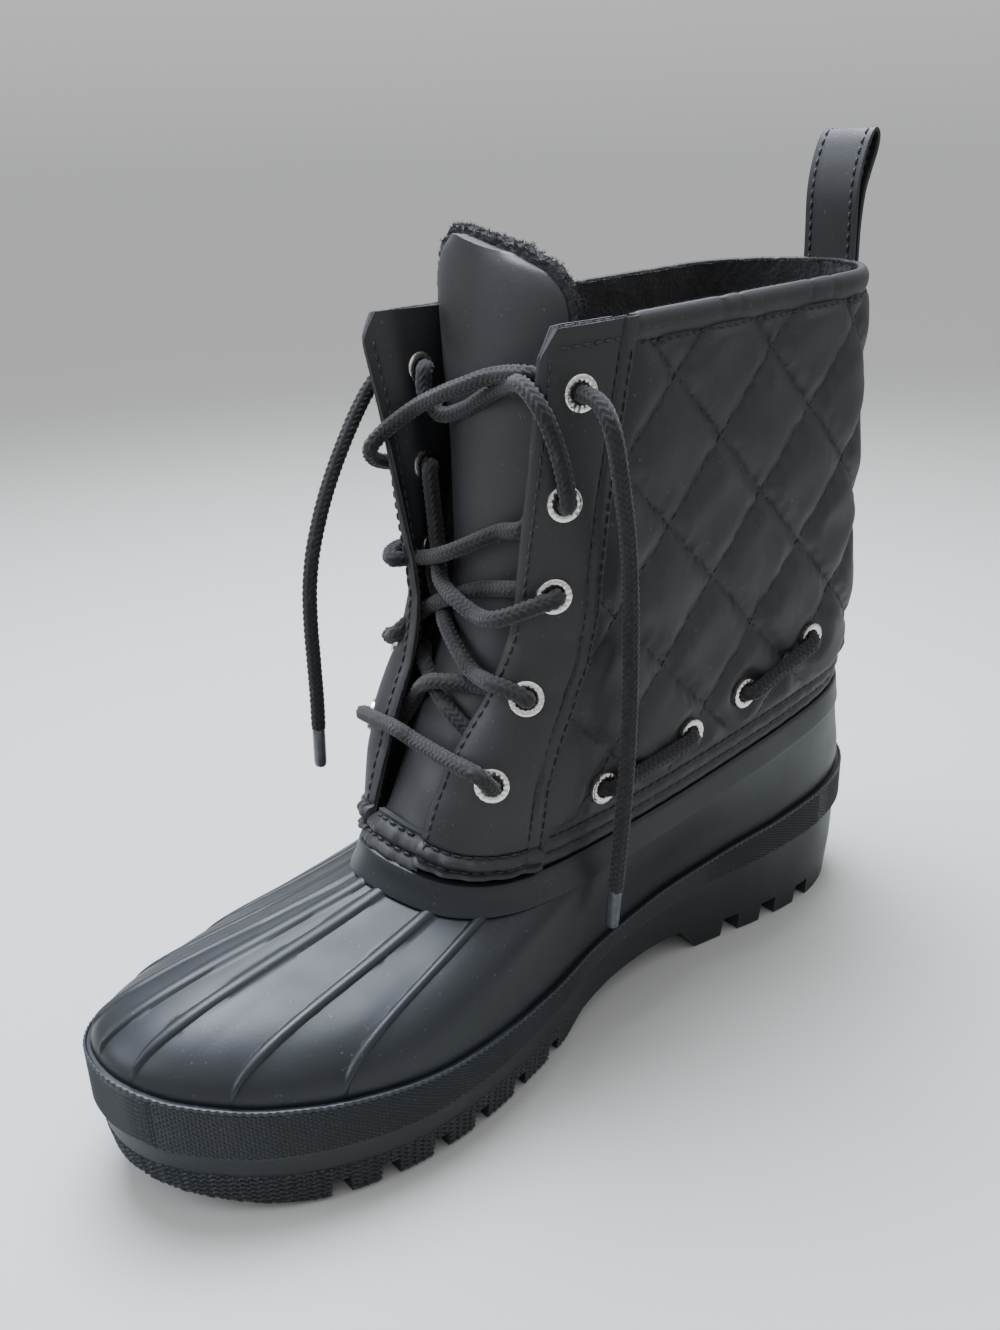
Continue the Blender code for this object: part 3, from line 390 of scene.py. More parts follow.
# Lift of a flap's seams: throat edge, rear edge, strip, two hem seams and top
FLAP_SEAM_LIFTS = (0.15, 0.15, 0.15, 0.5, 0.5, 0.15)

# Loose fibres, drawn thicker than real ones so that they show, and specks of lint
FIBRE_RADIUS = 0.08
COLLAR_FIBRES = 5000
TONGUE_FIBRES = 3500
LINING_FIBRES = 5000
FLAP_FIBRES = 700
CORD_FIBRES = 4500
LINT_SIZE = 1.1

# Camera of the photograph, in the drawing's millimetres and degrees, for a frame of 1000 by 1330 pixels
CAMERA_AT = (357.5, 262.5, 257.2)
CAMERA_YAW = -128.03
CAMERA_PITCH = 22.79
CAMERA_ROLL = 1.85
FOCAL_PIXELS = 1199.5
FRAME_LONG_SIDE = 1330
SENSOR = 36.0

# Studio: colours of the room from the floor line up, and of the lamps
HORIZON = "#a0a1a1"
WALL = "#b4b4b5"
CEILING = "#eef0f4"
ROOM_LIGHT = 1.4
LAMP = "#eaf1ff"
LAMP_SIZE = 0.8
# Lamps by name: place in metres, power in watts and spread in degrees
Lamp = namedtuple("Lamp", "name place power spread")
LAMPS = (
    Lamp("overhead", (-0.1, -0.3, 1.05), 17.0, 110.0),
    Lamp("toe_side", (1.1, -0.4, 0.8), 5.0, 120.0),
    Lamp("heel_side", (-0.6, 1.0, 1.0), 0.4, 120.0),
)
LAMP_AIM = (0.0, 0.0, 0.1)
# Room from the floor line up: heights between which a colour takes over
ROOM_COLOURS = ((0.0, 0.12, WALL), (0.12, 0.7, CEILING))
FLOOR_HALF = 9.0
FLOOR_DROP = 0.0004


def linear(hex_colour):
    """Linear red, green, blue and alpha of an sRGB hex colour."""
    parts = [int(hex_colour[k:k + 2], 16) / 255 for k in (1, 3, 5)]
    return tuple(p / 12.92 if p <= 0.04045 else ((p + 0.055) / 1.055) ** 2.4 for p in parts) + (1.0,)


def add(tree, kind, sockets=None, **settings):
    """A node with its settings, and its sockets set to a value or linked from another node's socket."""
    made = tree.nodes.new(kind)
    for name, value in settings.items():
        setattr(made, name, value)
    for name, value in (sockets or {}).items():
        if isinstance(value, bpy.types.NodeSocket):
            tree.links.new(value, made.inputs[name])
        else:
            made.inputs[name].default_value = value
    return made


def surface(name, colours, patch, roughness, grain, depth, wear_and_highlight=None, lint=None, **constants):
    """A material of two close colours in soft patches, with a grain in its bump and its gloss.

    Patch, grain and depth, the grain's height, are in millimetres, and roughness is a pair.
    The paler colour on raised edges is partly rubbed wear and partly a painted highlight, and lint is a
    colour of small specks that cling to the surface.
    """
    made = bpy.data.materials.new(name)
    made.use_nodes = True
    tree = made.node_tree
    shader = tree.nodes["Principled BSDF"]
    place = add(tree, "ShaderNodeTexCoord").outputs["Object"]
    cloud = add(tree, "ShaderNodeTexNoise",
                {"Vector": place, "Scale": 1 / (patch * MM), "Detail": 3.0}).outputs["Fac"]
    fine = add(tree, "ShaderNodeTexNoise",
               {"Vector": place, "Scale": 1 / (grain * MM), "Detail": 2.0}).outputs["Fac"]
    tint = add(tree, "ShaderNodeMix", {"Factor": cloud, "A": linear(colours[0]), "B": linear(colours[1])},
               data_type="RGBA").outputs["Result"]
    # Raised edges, found by their pointiness, are painted paler: partly wear, partly a painted highlight
    if wear_and_highlight:
        bend = add(tree, "ShaderNodeNewGeometry").outputs["Pointiness"]
        raised = add(tree, "ShaderNodeMapRange",
                     {"Value": bend, "From Min": 0.52, "From Max": 0.6, "To Max": 0.9}).outputs["Result"]
        tint = add(tree, "ShaderNodeMix", {"Factor": raised, "A": tint, "B": linear(wear_and_highlight)},
                   data_type="RGBA").outputs["Result"]
    if lint:
        speck = add(tree, "ShaderNodeTexNoise",
                    {"Vector": place, "Scale": 1 / (LINT_SIZE * MM), "Detail": 1.0}).outputs["Fac"]
        shows = add(tree, "ShaderNodeMapRange",
                    {"Value": speck, "From Min": 0.735, "From Max": 0.76, "To Max": 0.5}).outputs["Result"]
        tint = add(tree, "ShaderNodeMix", {"Factor": shows, "A": tint, "B": linear(lint)},
                   data_type="RGBA").outputs["Result"]
    gloss = add(tree, "ShaderNodeMapRange",
                {"Value": cloud, "From Min": 0.3, "From Max": 0.7,
                 "To Min": roughness[0], "To Max": roughness[1]}).outputs["Result"]
    relief = add(tree, "ShaderNodeBump",
                 {"Height": fine, "Distance": depth * MM, "Strength": 1.0}).outputs["Normal"]
    for socket, source in (("Base Color", tint), ("Roughness", gloss), ("Normal", relief)):
        tree.links.new(source, shader.inputs[socket])
    for socket, value in constants.items():
        shader.inputs[socket.replace("_", " ")].default_value = value
    return made


# Injection-moulded rubber: a blue-black satin skin with cloudy gloss and a little dust
RUBBER = surface("moulded_rubber", ("#0d1115", "#13181d"), 22.0, (0.4, 0.52), 0.5, 0.025, lint="#484d52",
                 IOR=1.52, Specular_IOR_Level=0.37)
# Sole rubber: the same, but paler on its raised pattern, partly rubbed wear and partly a painted highlight
SOLE_RUBBER = surface("moulded_sole_rubber", ("#0d1115", "#13181d"), 22.0, (0.44, 0.56), 0.5, 0.03,
                      wear_and_highlight="#2e3439", lint="#484d52", IOR=1.52, Specular_IOR_Level=0.37)
# Polyurethane-coated cloth: charcoal and matt, with a fine leather grain that catches a broad soft light
COATED = surface("coated_cloth", ("#101113", "#18191b"), 16.0, (0.52, 0.64), 0.7, 0.04, lint="#4c4e51",
                 IOR=1.5)
# Cut edge of the coated cloth: its grey woven backing shows as a dull, rough line
CUT_EDGE = surface("cut_cloth_edge", ("#1c1d1f", "#343537"), 1.4, (0.85, 0.95), 0.4, 0.12)
# Napped fleece: a deep black pile in small clumps that scatters light softly at its edges
FLEECE = surface("napped_fleece", ("#0d0d0e", "#1b1a1b"), 2.2, (0.9, 1.0), 1.5, 0.6, Sheen_Weight=0.08,
                 Sheen_Roughness=0.5)
# Braided cotton cord: dull black yarn with a faint grey fuzz; its raised yarns are painted paler, partly
# wear and partly a painted highlight
CORD = surface("braided_cotton", ("#080708", "#121112"), 1.6, (0.8, 0.95), 0.35, 0.1, wear_and_highlight="#262527",
               Sheen_Weight=0.15, Sheen_Roughness=0.5)
# Polyester thread: black with a slight silky shine
THREAD = surface("polyester_thread", ("#08080a", "#131315"), 1.2, (0.5, 0.65), 0.3, 0.05)
# Nickel-plated brass: bright silver with small dents that break its reflections
NICKEL = surface("nickel_plate", ("#c3c1bb", "#dddbd6"), 1.5, (0.16, 0.34), 0.9, 0.1, Metallic=1.0)
# Heat-shrunk acetate film over the cord: smoky and half clear, glossy
TIP_FILM = surface("acetate_film", ("#36393c", "#5c6063"), 3.0, (0.15, 0.25), 1.0, 0.03, IOR=1.48,
                   Transmission_Weight=0.25)
# Seamless paper: pale cool grey, quite matt
PAPER = surface("seamless_paper", ("#aeafaa", "#b1b2ad"), 400.0, (0.8, 0.9), 3.0, 0.02,
                Specular_IOR_Level=0.1)


def to_frame(points):
    """Points in the frame's metres."""
    return (np.asarray(points, float) + (-HEEL_TO_ORIGIN, SIDE_SHIFT, 0.0)) * MM


def new_mesh(name, points, faces):
    """A mesh in the frame with its faces turned outward."""
    mesh = bpy.data.meshes.new(name)
    mesh.from_pydata(to_frame(points).tolist(), [], faces)
    work = bmesh.new()
    work.from_mesh(mesh)
    bmesh.ops.recalc_face_normals(work, faces=work.faces)
    work.to_mesh(mesh)
    work.free()
    return mesh


def add_piece(name, points, faces, finish, slot, replaces=(), smooth_angle=40.0):
    """A mesh in the frame that moves with the boot and wears its finish; the slot argument is not used."""
    mesh = new_mesh(name, points, faces)
    mesh.shade_smooth()
    mesh.set_sharp_from_angle(angle=math.radians(smooth_angle))
    made = bpy.data.objects.new(name, mesh)
    mesh.materials.append(finish)
    bpy.context.scene.collection.objects.link(made)
    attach(made, BODY)
    if replaces:
        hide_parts(*replaces)
    return made


def grid_faces(rows, columns, wrap=False):
    """Quads of a grid of points, rows by columns, joined round if it wraps."""
    low = np.arange(rows - 1)[:, None] * columns
    here = np.arange(columns if wrap else columns - 1)[None, :]
    ahead = (here + 1) % columns
    quads = np.stack((low + here, low + ahead, low + columns + ahead, low + columns + here), axis=-1)
    return quads.reshape(-1, 4)


def looped_faces(rings, columns, wrap=True):
    """Quads of rings of points whose last ring joins the first."""
    return (grid_faces(rings + 1, columns, wrap) % (rings * columns)).tolist()


def capped_faces(rings, columns):
    """Quads of rings of points with a flat face on each end."""
    ends = [tuple(range(columns)), tuple(range((rings - 1) * columns, rings * columns))]
    return grid_faces(rings, columns, wrap=True).tolist() + ends


def closed_sheet(face, back):
    """Points and faces of a sheet between two grids of the same size, closed on all edges."""
    rows, columns = face.shape[:2]
    count = rows * columns
    points = np.concatenate((face.reshape(-1, 3), back.reshape(-1, 3)))
    quads = grid_faces(rows, columns)
    faces = quads.tolist() + (quads[:, ::-1] + count).tolist()
    rim = list(range(columns)) + [r * columns + columns - 1 for r in range(1, rows)]
    rim += [(rows - 1) * columns + c for c in range(columns - 2, -1, -1)]
    rim += [r * columns for r in range(rows - 2, 0, -1)]
    faces += [(b, a, count + a, count + b) for a, b in zip(rim, rim[1:] + rim[:1])]
    return points, faces


def cross_strips(start, count):
    """Faces that close a ring by strips from its inner to its outer side."""
    half = count // 2
    faces = [(start, start + 1, start + count - 1)]
    end = start + count
    faces += [(start + k, start + k + 1, end - k - 1, end - k) for k in range(1, half - 1)]
    return faces + [(start + half - 1, start + half, start + half + 1)]


def stacked_faces(rings, columns):
    """Quads of rings of points round the sole, closed across it below and above."""
    strips = cross_strips(0, columns) + cross_strips(columns * (rings - 1), columns)
    return grid_faces(rings, columns, wrap=True).tolist() + strips


def unit(directions):
    """Directions brought to length 1."""
    return directions / np.linalg.norm(directions, axis=-1, keepdims=True)


def run_lengths(points):
    """Distance travelled from the start of a path to each of its points."""
    return np.concatenate(([0.0], np.cumsum(np.linalg.norm(np.diff(points, axis=0), axis=1))))


def smooth_rows(rows, places, closed=False):
    """Values between the rows of a table, on a smooth curve through them."""
    rows = np.asarray(rows, float)
    places = np.asarray(places, float)
    count = len(rows)
    low = np.floor(places).astype(int)
    if closed:
        part = places - low
        before, start, end, after = (rows[(low + step) % count] for step in (-1, 0, 1, 2))
    else:
        low = np.clip(low, 0, count - 2)
        part = places - low
        longer = np.concatenate(([2 * rows[0] - rows[1]], rows, [2 * rows[-1] - rows[-2]]))
        before, start, end, after = (longer[low + step + 1] for step in (-1, 0, 1, 2))
    t = part.reshape(part.shape + (1,) * (rows.ndim - 1))
    pull_in, pull_out = (end - before) / 2, (after - start) / 2
    return (start * (2 * t ** 3 - 3 * t ** 2 + 1) + pull_in * (t ** 3 - 2 * t ** 2 + t)
            + end * (3 * t ** 2 - 2 * t ** 3) + pull_out * (t ** 3 - t ** 2))


def soft_step(value, low, high):
    """0 below low, 1 above high, and an even slope between them."""
    t = np.clip((np.asarray(value, float) - low) / (high - low), 0.0, 1.0)
    return t * t * (3 - 2 * t)


def table_at(table, key, values):
    """Rows of a table read at values of its first column."""
    stops = [getattr(row, key) for row in table]
    return smooth_rows(table, np.interp(values, stops, range(len(stops))))


def step_heights(x):
    """Heights of the sole's steps at places along the foot; the tread isn't below the ground."""
    heights = Step(*table_at(STEPS, "x", x).T)
    return heights._replace(tread=np.maximum(heights.tread, 0.0))


Ring = namedtuple("Ring", "sole sole_out rim rim_out rim_z rise drop lean")


def ring_at(rows):
    """Sole edge and rim at places round the foot, with the directions that point outward in plan."""
    rows = np.asarray(rows, float)
    here = smooth_rows(RING, rows, closed=True)
    along = smooth_rows(RING, rows + 0.05, closed=True) - smooth_rows(RING, rows - 0.05, closed=True)
    outs = []
    for first in (0, 2):
        outs.append(unit(np.stack((-along[:, first + 1], along[:, first]), axis=1)))
    return Ring(here[:, 0:2], outs[0], here[:, 2:4], outs[1], *here[:, 4:].T)


def lifted(flat, heights):
    """Points in plan at the given heights."""
    return np.column_stack((flat, heights))


def edge_ring(ring, inset, heights):
    """Points on the sole's edge, moved inward, at the given heights."""
    inset = np.broadcast_to(inset, heights.shape)
    return lifted(ring.sole - inset[:, None] * ring.sole_out, heights)


def rim_ring(ring, outset, below):
    """Points on the shell's rim, moved outward and down."""
    outset = np.broadcast_to(outset, ring.rim_z.shape)
    return lifted(ring.rim + outset[:, None] * ring.rim_out, ring.rim_z - below)


def shell_grid(rows, shares):
    """The shell's outer face from the foxing band (0) to the foot of the rim band (1)."""
    ring = ring_at(rows)
    low = edge_ring(ring, SHELL_INSET, step_heights(ring.sole[:, 0]).band_top - BAND_LIP + GAP)
    high = rim_ring(ring, ring.lean, RIM_BAND)
    over_band = low + ring.rise[:, None] * (0.0, 0.0, 1.0)
    under_rim = lifted((high[:, :2] + low[:, :2]) / 2, high[:, 2] - ring.drop)
    v = np.asarray(shares, float)[:, None, None]
    w = 1.0 - v
    return w ** 3 * low + 3 * w * w * v * over_band + 3 * w * v * v * under_rim + v ** 3 * high


def grid_normals(grid, wrap=False):
    """Directions at right angles to a grid: across its columns, then up its rows."""
    if wrap:
        across = np.roll(grid, -1, axis=1) - np.roll(grid, 1, axis=1)
    else:
        across = np.gradient(grid, axis=1)
    return unit(np.cross(np.gradient(grid, axis=0), across))


def even_rows(count):
    """Places round the sole's edge at equal distances."""
    fine = np.linspace(0, RING_ROWS, 4001)
    edge = smooth_rows(RING, fine, closed=True)[:, :2]
    run = run_lengths(edge)
    return np.interp(np.linspace(0, run[-1], count, endpoint=False), run, fine), run[-1] / count


# Points and outward directions of the shaft's outer face on a fine grid, for everything that lies on it
SHAFT_ALONGS = np.linspace(0.0, 6.0, 601)
SHAFT_UPS = np.linspace(0.0, 1.0, 201)


def level_points(level, alongs):
    """One shaft level: 0 throat edge, 1 eyestay seam, 2 heel curve, 3 heel line, then back to 6."""
    inner_side = alongs <= 3.0
    s = np.where(inner_side, alongs, 6.0 - alongs)
    edge_x = np.where(inner_side, level.edge_x, level.far_x)
    edge_y = np.where(inner_side, level.edge_y, level.far_y)
    half = np.where(inner_side, level.inner, level.outer)
    seam_x = level.edge_x - level.stay
    heel_x = level.back_x + level.back_len
    front, turn = np.clip(s, 0.0, 1.0), np.clip(s - 2.0, 0.0, 1.0) * math.pi / 2
    flap_x = edge_x - (edge_x - seam_x) * front ** level.bend
    x = np.where(s <= 1.0, flap_x, seam_x + (heel_x - seam_x) * (s - 1.0))
    x = np.where(s > 2.0, heel_x - level.back_len * np.sin(turn), x)
    y = np.where(s <= 1.0, edge_y + (half - edge_y) * np.sin(front * math.pi / 2), half * np.cos(turn))
    share = (x - level.back_x) / (level.edge_x - level.back_x)
    return np.column_stack((x, y, level.back_z + (level.front_z - level.back_z) * share))


def rim_seats(alongs):
    """The shaft's lower edge on the shell's rim."""
    inner_side = alongs <= 3.0
    s = np.where(inner_side, alongs, 6.0 - alongs)
    near = np.interp(s, (0, 1, 2, 3), (THROAT_ROW, STAY_ROW, HEEL_ROW, 0.0))
    far = np.interp(s, (0, 1, 2, 3), (FAR_THROAT_ROW, STAY_ROW, HEEL_ROW, 0.0))
    return rim_ring(ring_at(np.where(inner_side, near, RING_ROWS - far)), -0.2, -SEAT_GAP)


def shaft_grid(alongs, ups):
    """Points of the shaft's outer face from the rim (0) to the collar (1)."""
    columns = np.stack([rim_seats(alongs)] + [level_points(level, alongs) for level in LEVELS])
    return smooth_rows(columns, np.asarray(ups) * (len(columns) - 1))


SHAFT = shaft_grid(SHAFT_ALONGS, SHAFT_UPS)
SHAFT_OUT = -grid_normals(SHAFT)


def on_shaft(alongs, ups, lift=0.0):
    """Points beside the shaft's outer face, at a lift in millimetres."""
    alongs, ups, lift = np.broadcast_arrays(np.asarray(alongs, float), np.asarray(ups, float), lift)
    column = np.clip(alongs, 0, 6) * (len(SHAFT_ALONGS) - 1) / 6
    row = np.clip(ups, 0, 1) * (len(SHAFT_UPS) - 1)
    c = np.clip(column.astype(int), 0, len(SHAFT_ALONGS) - 2)
    r = np.clip(row.astype(int), 0, len(SHAFT_UPS) - 2)
    a, b = (column - c)[..., None], (row - r)[..., None]
    found = []
    for values in (SHAFT, SHAFT_OUT):
        found.append((1 - b) * ((1 - a) * values[r, c] + a * values[r, c + 1])
                     + b * ((1 - a) * values[r + 1, c] + a * values[r + 1, c + 1]))
    return found[0] + lift[..., None] * found[1]


def shaft_out(along, up):
    """Outward directions at places on the shaft."""
    return unit(on_shaft(along, up, 1.0) - on_shaft(along, up, 0.0))


def up_for_height(along, height):
    """How far up the shaft a height lies, at a place along it."""
    column = on_shaft(np.full(len(SHAFT_UPS), along), SHAFT_UPS)[:, 2]
    return float(np.interp(height, column, SHAFT_UPS))


def lace_place(index, inner_side):
    """Where a lace eyelet lies: along and up the shaft."""
    row = LACE_EYELETS[index]
    along = row.along if inner_side else 6.0 - row.along
    return along, up_for_height(along, row.z)


def side_place(index, inner_side):
    """Where an ankle eyelet lies: along and up the shaft."""
    row = SIDE_EYELETS[index]
    alongs = np.linspace(1.0, 2.5, 151) if inner_side else np.linspace(5.0, 3.5, 151)
    places = [(along, up_for_height(along, row.z)) for along in alongs]
    xs = np.array([on_shaft(*place)[0] for place in places])
    return places[int(np.argmin(np.abs(xs - row.x)))]


# Sides by name, and where their throat edges lie along the shaft with the way that leads off them
SIDES = (("medial", True), ("lateral", False))
THROATS = ((0.0, 1.0), (6.0, -1.0))


def run_coordinate():
    """Distance of each shaft point from the heel line, counted so that it equals X on the flat side."""
    start = len(SHAFT_ALONGS) // 3
    middle = len(SHAFT_ALONGS) // 2
    steps = np.linalg.norm(np.diff(SHAFT[:, :, :2], axis=1), axis=2)
    run = np.concatenate((np.zeros((len(SHAFT_UPS), 1)), np.cumsum(steps, axis=1)), axis=1)
    near = SHAFT[:, start:start + 1, 0] + run[:, start:start + 1] - run
    back = near[:, middle:middle + 1]
    far = back + run - run[:, middle:middle + 1]
    return np.where(np.arange(len(SHAFT_ALONGS)) <= middle, near, far)


RUN = run_coordinate()


def shaft_values(values, alongs, ups):
    """A value known on the fine shaft grid, read at other places."""
    column = np.rint(np.clip(alongs, 0, 6) * (len(SHAFT_ALONGS) - 1) / 6).astype(int)
    row = np.rint(np.clip(ups, 0, 1) * (len(SHAFT_UPS) - 1)).astype(int)
    return values[row, column]


def edge_heights(alongs, ups):
    """How far places on the shaft lie above the rim and below the collar, in millimetres."""
    z = on_shaft(alongs, ups)[..., 2]
    above = z - on_shaft(alongs, np.zeros_like(ups))[..., 2]
    below = on_shaft(alongs, np.ones_like(ups))[..., 2] - z
    return above, below


def hem_height(above, run):
    """The sewn-down hem: a gathered roll between its two seams, and a ragged roll below them."""
    low, high = HEM_SEAMS
    gathered = 1.0 + 0.24 * np.sin(run / 1.3) + 0.2 * np.sin(run / 0.73 + 1.0) * np.sin(run / 4.1)
    roll = np.sin(math.pi * np.clip((above - low) / (high - low), 0.0, 1.0))
    foot = np.sin(math.pi * np.clip((above + 0.8) / (low + 0.8), 0.0, 1.0))
    grooves = np.exp(-((above - low) / 0.7) ** 2) + np.exp(-((above - high) / 0.7) ** 2)
    return (1.2 * roll + 0.9 * foot) * gathered - 0.5 * grooves


def quilt_line_distance(line, run, z):
    """Distance to the nearest line of a quilting family, in millimetres."""
    phase = (z - line.slope * run - line.first) / line.spacing
    return np.abs(phase - np.rint(phase)) * line.spacing / math.hypot(1.0, line.slope)


def quilt_height(alongs, ups):
    """How far the quilting stands off the shaft's plain face, in millimetres."""
    places = on_shaft(alongs, ups)
    run, z = shaft_values(RUN, alongs, ups), places[..., 2]
    puff, pucker = np.ones_like(z), np.zeros_like(z)
    for line in QUILT:
        away = quilt_line_distance(line, run, z)
        puff = puff * (1.0 - (1.0 - np.clip(away / PUFF_REACH, 0.0, 1.0)) ** 2.4)
        along_line = (run + line.slope * z) / math.hypot(1.0, line.slope)
        wave = np.sin(2 * math.pi * along_line / PUCKER_PITCH + z / 9.0)
        pucker += wave * np.exp(-((away - 2.0) / 1.8) ** 2)
    to_back = line_distance(alongs, ups, 3.0)
    puff = puff * (1.0 - (1.0 - np.clip(to_back / PUFF_REACH, 0.0, 1.0)) ** 2.4)
    slack = np.sin(0.21 * run + 0.13 * z) * np.sin(0.17 * z - 0.07 * run + 1.3)
    height = (PUFF + SLACK * slack) * puff - CHANNEL + PUCKER * pucker
    for crease in CREASES:
        line = np.array((crease.x2 - crease.x1, crease.z2 - crease.z1))
        share = ((run - crease.x1) * line[0] + (z - crease.z1) * line[1]) / (line @ line)
        share = np.clip(share, 0.0, 1.0)
        away = np.hypot(run - crease.x1 - share * line[0], z - crease.z1 - share * line[1])
        fade = np.sin(math.pi * np.clip(share, 0.05, 0.95))
        height -= crease.depth * fade * np.exp(-(away / crease.half) ** 2)
    above, below = edge_heights(alongs, ups)
    calm = soft_step(np.minimum(alongs, 6.0 - alongs), 1.0, 1.08) * soft_step(above, 8.0, 14.0)
    calm = calm * soft_step(below, COLLAR_BAND - 1.0, COLLAR_BAND + 2.5)
    for _, inner_side in SIDES:
        for index in range(len(SIDE_EYELETS)):
            away = np.linalg.norm(places - on_shaft(*side_place(index, inner_side)), axis=-1)
            calm = calm * soft_step(away, EYELET_OUTER, EYELET_OUTER + 5.0)
    return height * calm - 0.4 * (1 - calm) + 0.6 * hem_height(above, run)


def throat_cut(ups):
    """How far the top front corner of a flap is cut back along the shaft."""
    return CORNER_CUT * np.clip((ups - CORNER_START) / (1.0 - CORNER_START), 0.0, 1.0)


def hem_first(foot, low, high):
    """Levels up the shaft from its foot, closer together at the hem."""
    hem = np.linspace(foot, HEM_SHARE, low, endpoint=False)
    return np.concatenate((hem, np.linspace(HEM_SHARE, 1, high)))


def flap_grid(start, end, columns, levels):
    """Places on a flap from its throat edge to a line further back, with its top corner cut."""
    shares, ups = np.meshgrid(np.linspace(0, 1, columns), levels)
    toward = 1.0 if end > start else -1.0
    cut = throat_cut(ups)
    return start + toward * (cut + shares * (abs(end - start) - cut)), ups


def quilted_shaft():
    """Quilted outer cloth of the shaft."""
    stops = np.interp(np.arange(SHAFT_STOPS[-1] + 1), SHAFT_STOPS, range(len(SHAFT_STOPS)))
    alongs, ups = np.meshgrid(stops, hem_first(0.0, *SHAFT_LEVELS))
    cut = throat_cut(ups)
    alongs = np.clip(alongs, cut, 6.0 - cut)
    face = on_shaft(alongs, ups, quilt_height(alongs, ups))
    to_throat = line_distance(alongs, ups, np.where(alongs < 3.0, 0.0, 6.0))
    back = on_shaft(alongs, ups, -0.6 - 1.4 * soft_step(to_throat, 0.0, 9.0))
    made = add_piece("quilted_shaft", *closed_sheet(face, back), COATED, "coated_cloth", ("shaft",))


def fleece_lining():
    """Fleece on the inside of the shaft, up to the collar's roll."""
    columns = np.linspace(*LINING_SPAN, LINING_COLUMNS)
    alongs, ups = np.meshgrid(columns, np.linspace(0, 0.998, LINING_LEVELS))
    nap = RANDOM.normal(0.0, LINING_NAP, alongs.shape)
    face = on_shaft(alongs, ups, np.full(alongs.shape, -2.1))
    back = on_shaft(alongs, ups, -SHAFT_WALL - 0.6 + nap)
    back[..., 2] += 0.5 * nap
    add_piece("fleece_lining", *closed_sheet(face, back), FLEECE, "fleece")


def rounded(distance, reach):
    """Height share of an edge that rounds off over a reach."""
    return np.sqrt(1.0 - (1.0 - np.clip(distance / reach, 0.0, 1.0)) ** 2)


def line_distance(alongs, ups, line):
    """Distance of places on the shaft from a line up the shaft, in millimetres."""
    return np.linalg.norm(on_shaft(alongs, ups) - on_shaft(np.zeros_like(alongs) + line, ups), axis=-1)


def eyestay_lift(alongs, ups, start):
    """Outer face of an eyestay panel: thin at the throat, with a folded strip at its rear seam."""
    to_throat = line_distance(alongs, ups, start)
    to_seam = line_distance(alongs, ups, 1.0 if start < 3 else 5.0)
    above, _ = edge_heights(alongs, ups)
    swell = 0.35 * np.sin(math.pi * np.clip(np.abs(alongs - start), 0, 1))
    lift = 0.1 + (1.5 + swell) * np.minimum(rounded(to_throat, 6.0), rounded(to_seam + 0.5, 1.3))
    for crease in STAY_CREASES:
        bend = (ups - crease.up - crease.tilt * np.abs(alongs - start)) / crease.half
        lift = lift - crease.depth * np.exp(-bend ** 2)
    strip = 0.55 * soft_step(-to_seam, -STAY_STRIP - 0.6, -STAY_STRIP + 0.4)
    groove = 0.45 * np.exp(-((to_seam - STAY_STRIP - 0.6) / 0.6) ** 2)
    return lift + strip - groove + 1.3 * hem_height(above, to_throat)


def facing_lift(alongs, ups, start):
    """Inner face of a flap's facing, which closes on the panel at the throat edge."""
    return -1.2 - 3.4 * soft_step(line_distance(alongs, ups, start), 0.0, 10.0)


def flap_pieces():
    """Smooth panels outside the flaps and facings inside them, both with cut edges."""
    for side, inner_side in SIDES:
        start, toward = THROATS[0] if inner_side else THROATS[1]
        levels = hem_first(PANEL_FOOT, *PANEL_LEVELS)
        alongs, ups = flap_grid(start, start + toward, PANEL_COLUMNS, levels)
        face = on_shaft(alongs, ups, eyestay_lift(alongs, ups, start))
        back = on_shaft(alongs, ups, np.full(alongs.shape, -0.3))
        made = add_piece(f"eyestay_panel_{side}", *closed_sheet(face, back), COATED, "coated_cloth",
                         (f"eyestay_{side}",))
        edge_faces(made, face)
        levels = np.linspace(0, 1, FACING_LEVELS)
        alongs, ups = flap_grid(start, start + FACING_REACH * toward, FACING_COLUMNS, levels)
        inner = facing_lift(alongs, ups, start)
        face, back = on_shaft(alongs, ups, 0.8 * inner + 0.3), on_shaft(alongs, ups, inner)
        made = add_piece(f"eyestay_facing_{side}", *closed_sheet(face, back), COATED, "coated_cloth")
        edge_faces(made, face)


def edge_faces(made, grid):
    """Gives the faces round a closed sheet, which follow those of its two grids, the look of a cut edge."""
    rows, columns = grid.shape[:2]
    made.data.materials.append(CUT_EDGE)
    for face in made.data.polygons[2 * (rows - 1) * (columns - 1):]:
        face.material_index = 1


def front_hem():
    """The hem across the foot of the throat: two rolls with a ragged lower edge, leaning up the instep."""
    rows = np.linspace(THROAT_ROW - 0.3, RING_ROWS - FAR_THROAT_ROW + 0.3, HEM_COLUMNS)
    ring = ring_at(rows)
    heights = np.linspace(0.3, HEM_SEAMS[1] + 1.0, HEM_LEVELS)
    foot = rim_ring(ring, 0.0, 0.0)
    run = run_lengths(foot)
    outer, inner = [], []
    for height in heights:
        bulge = hem_height(height, run)
        ragged = RANDOM.normal(0.0, 0.22, len(rows)) if height < 1.0 else 0.0
        outer.append(rim_ring(ring, 0.9 - HEM_LEAN * height + bulge, -height + ragged))
        inner.append(rim_ring(ring, -0.9 - HEM_LEAN * height, -height + ragged))
    face = np.stack(outer)
    made = add_piece("front_hem", *closed_sheet(face, np.stack(inner)), COATED, "coated_cloth")
    edge_faces(made, face)


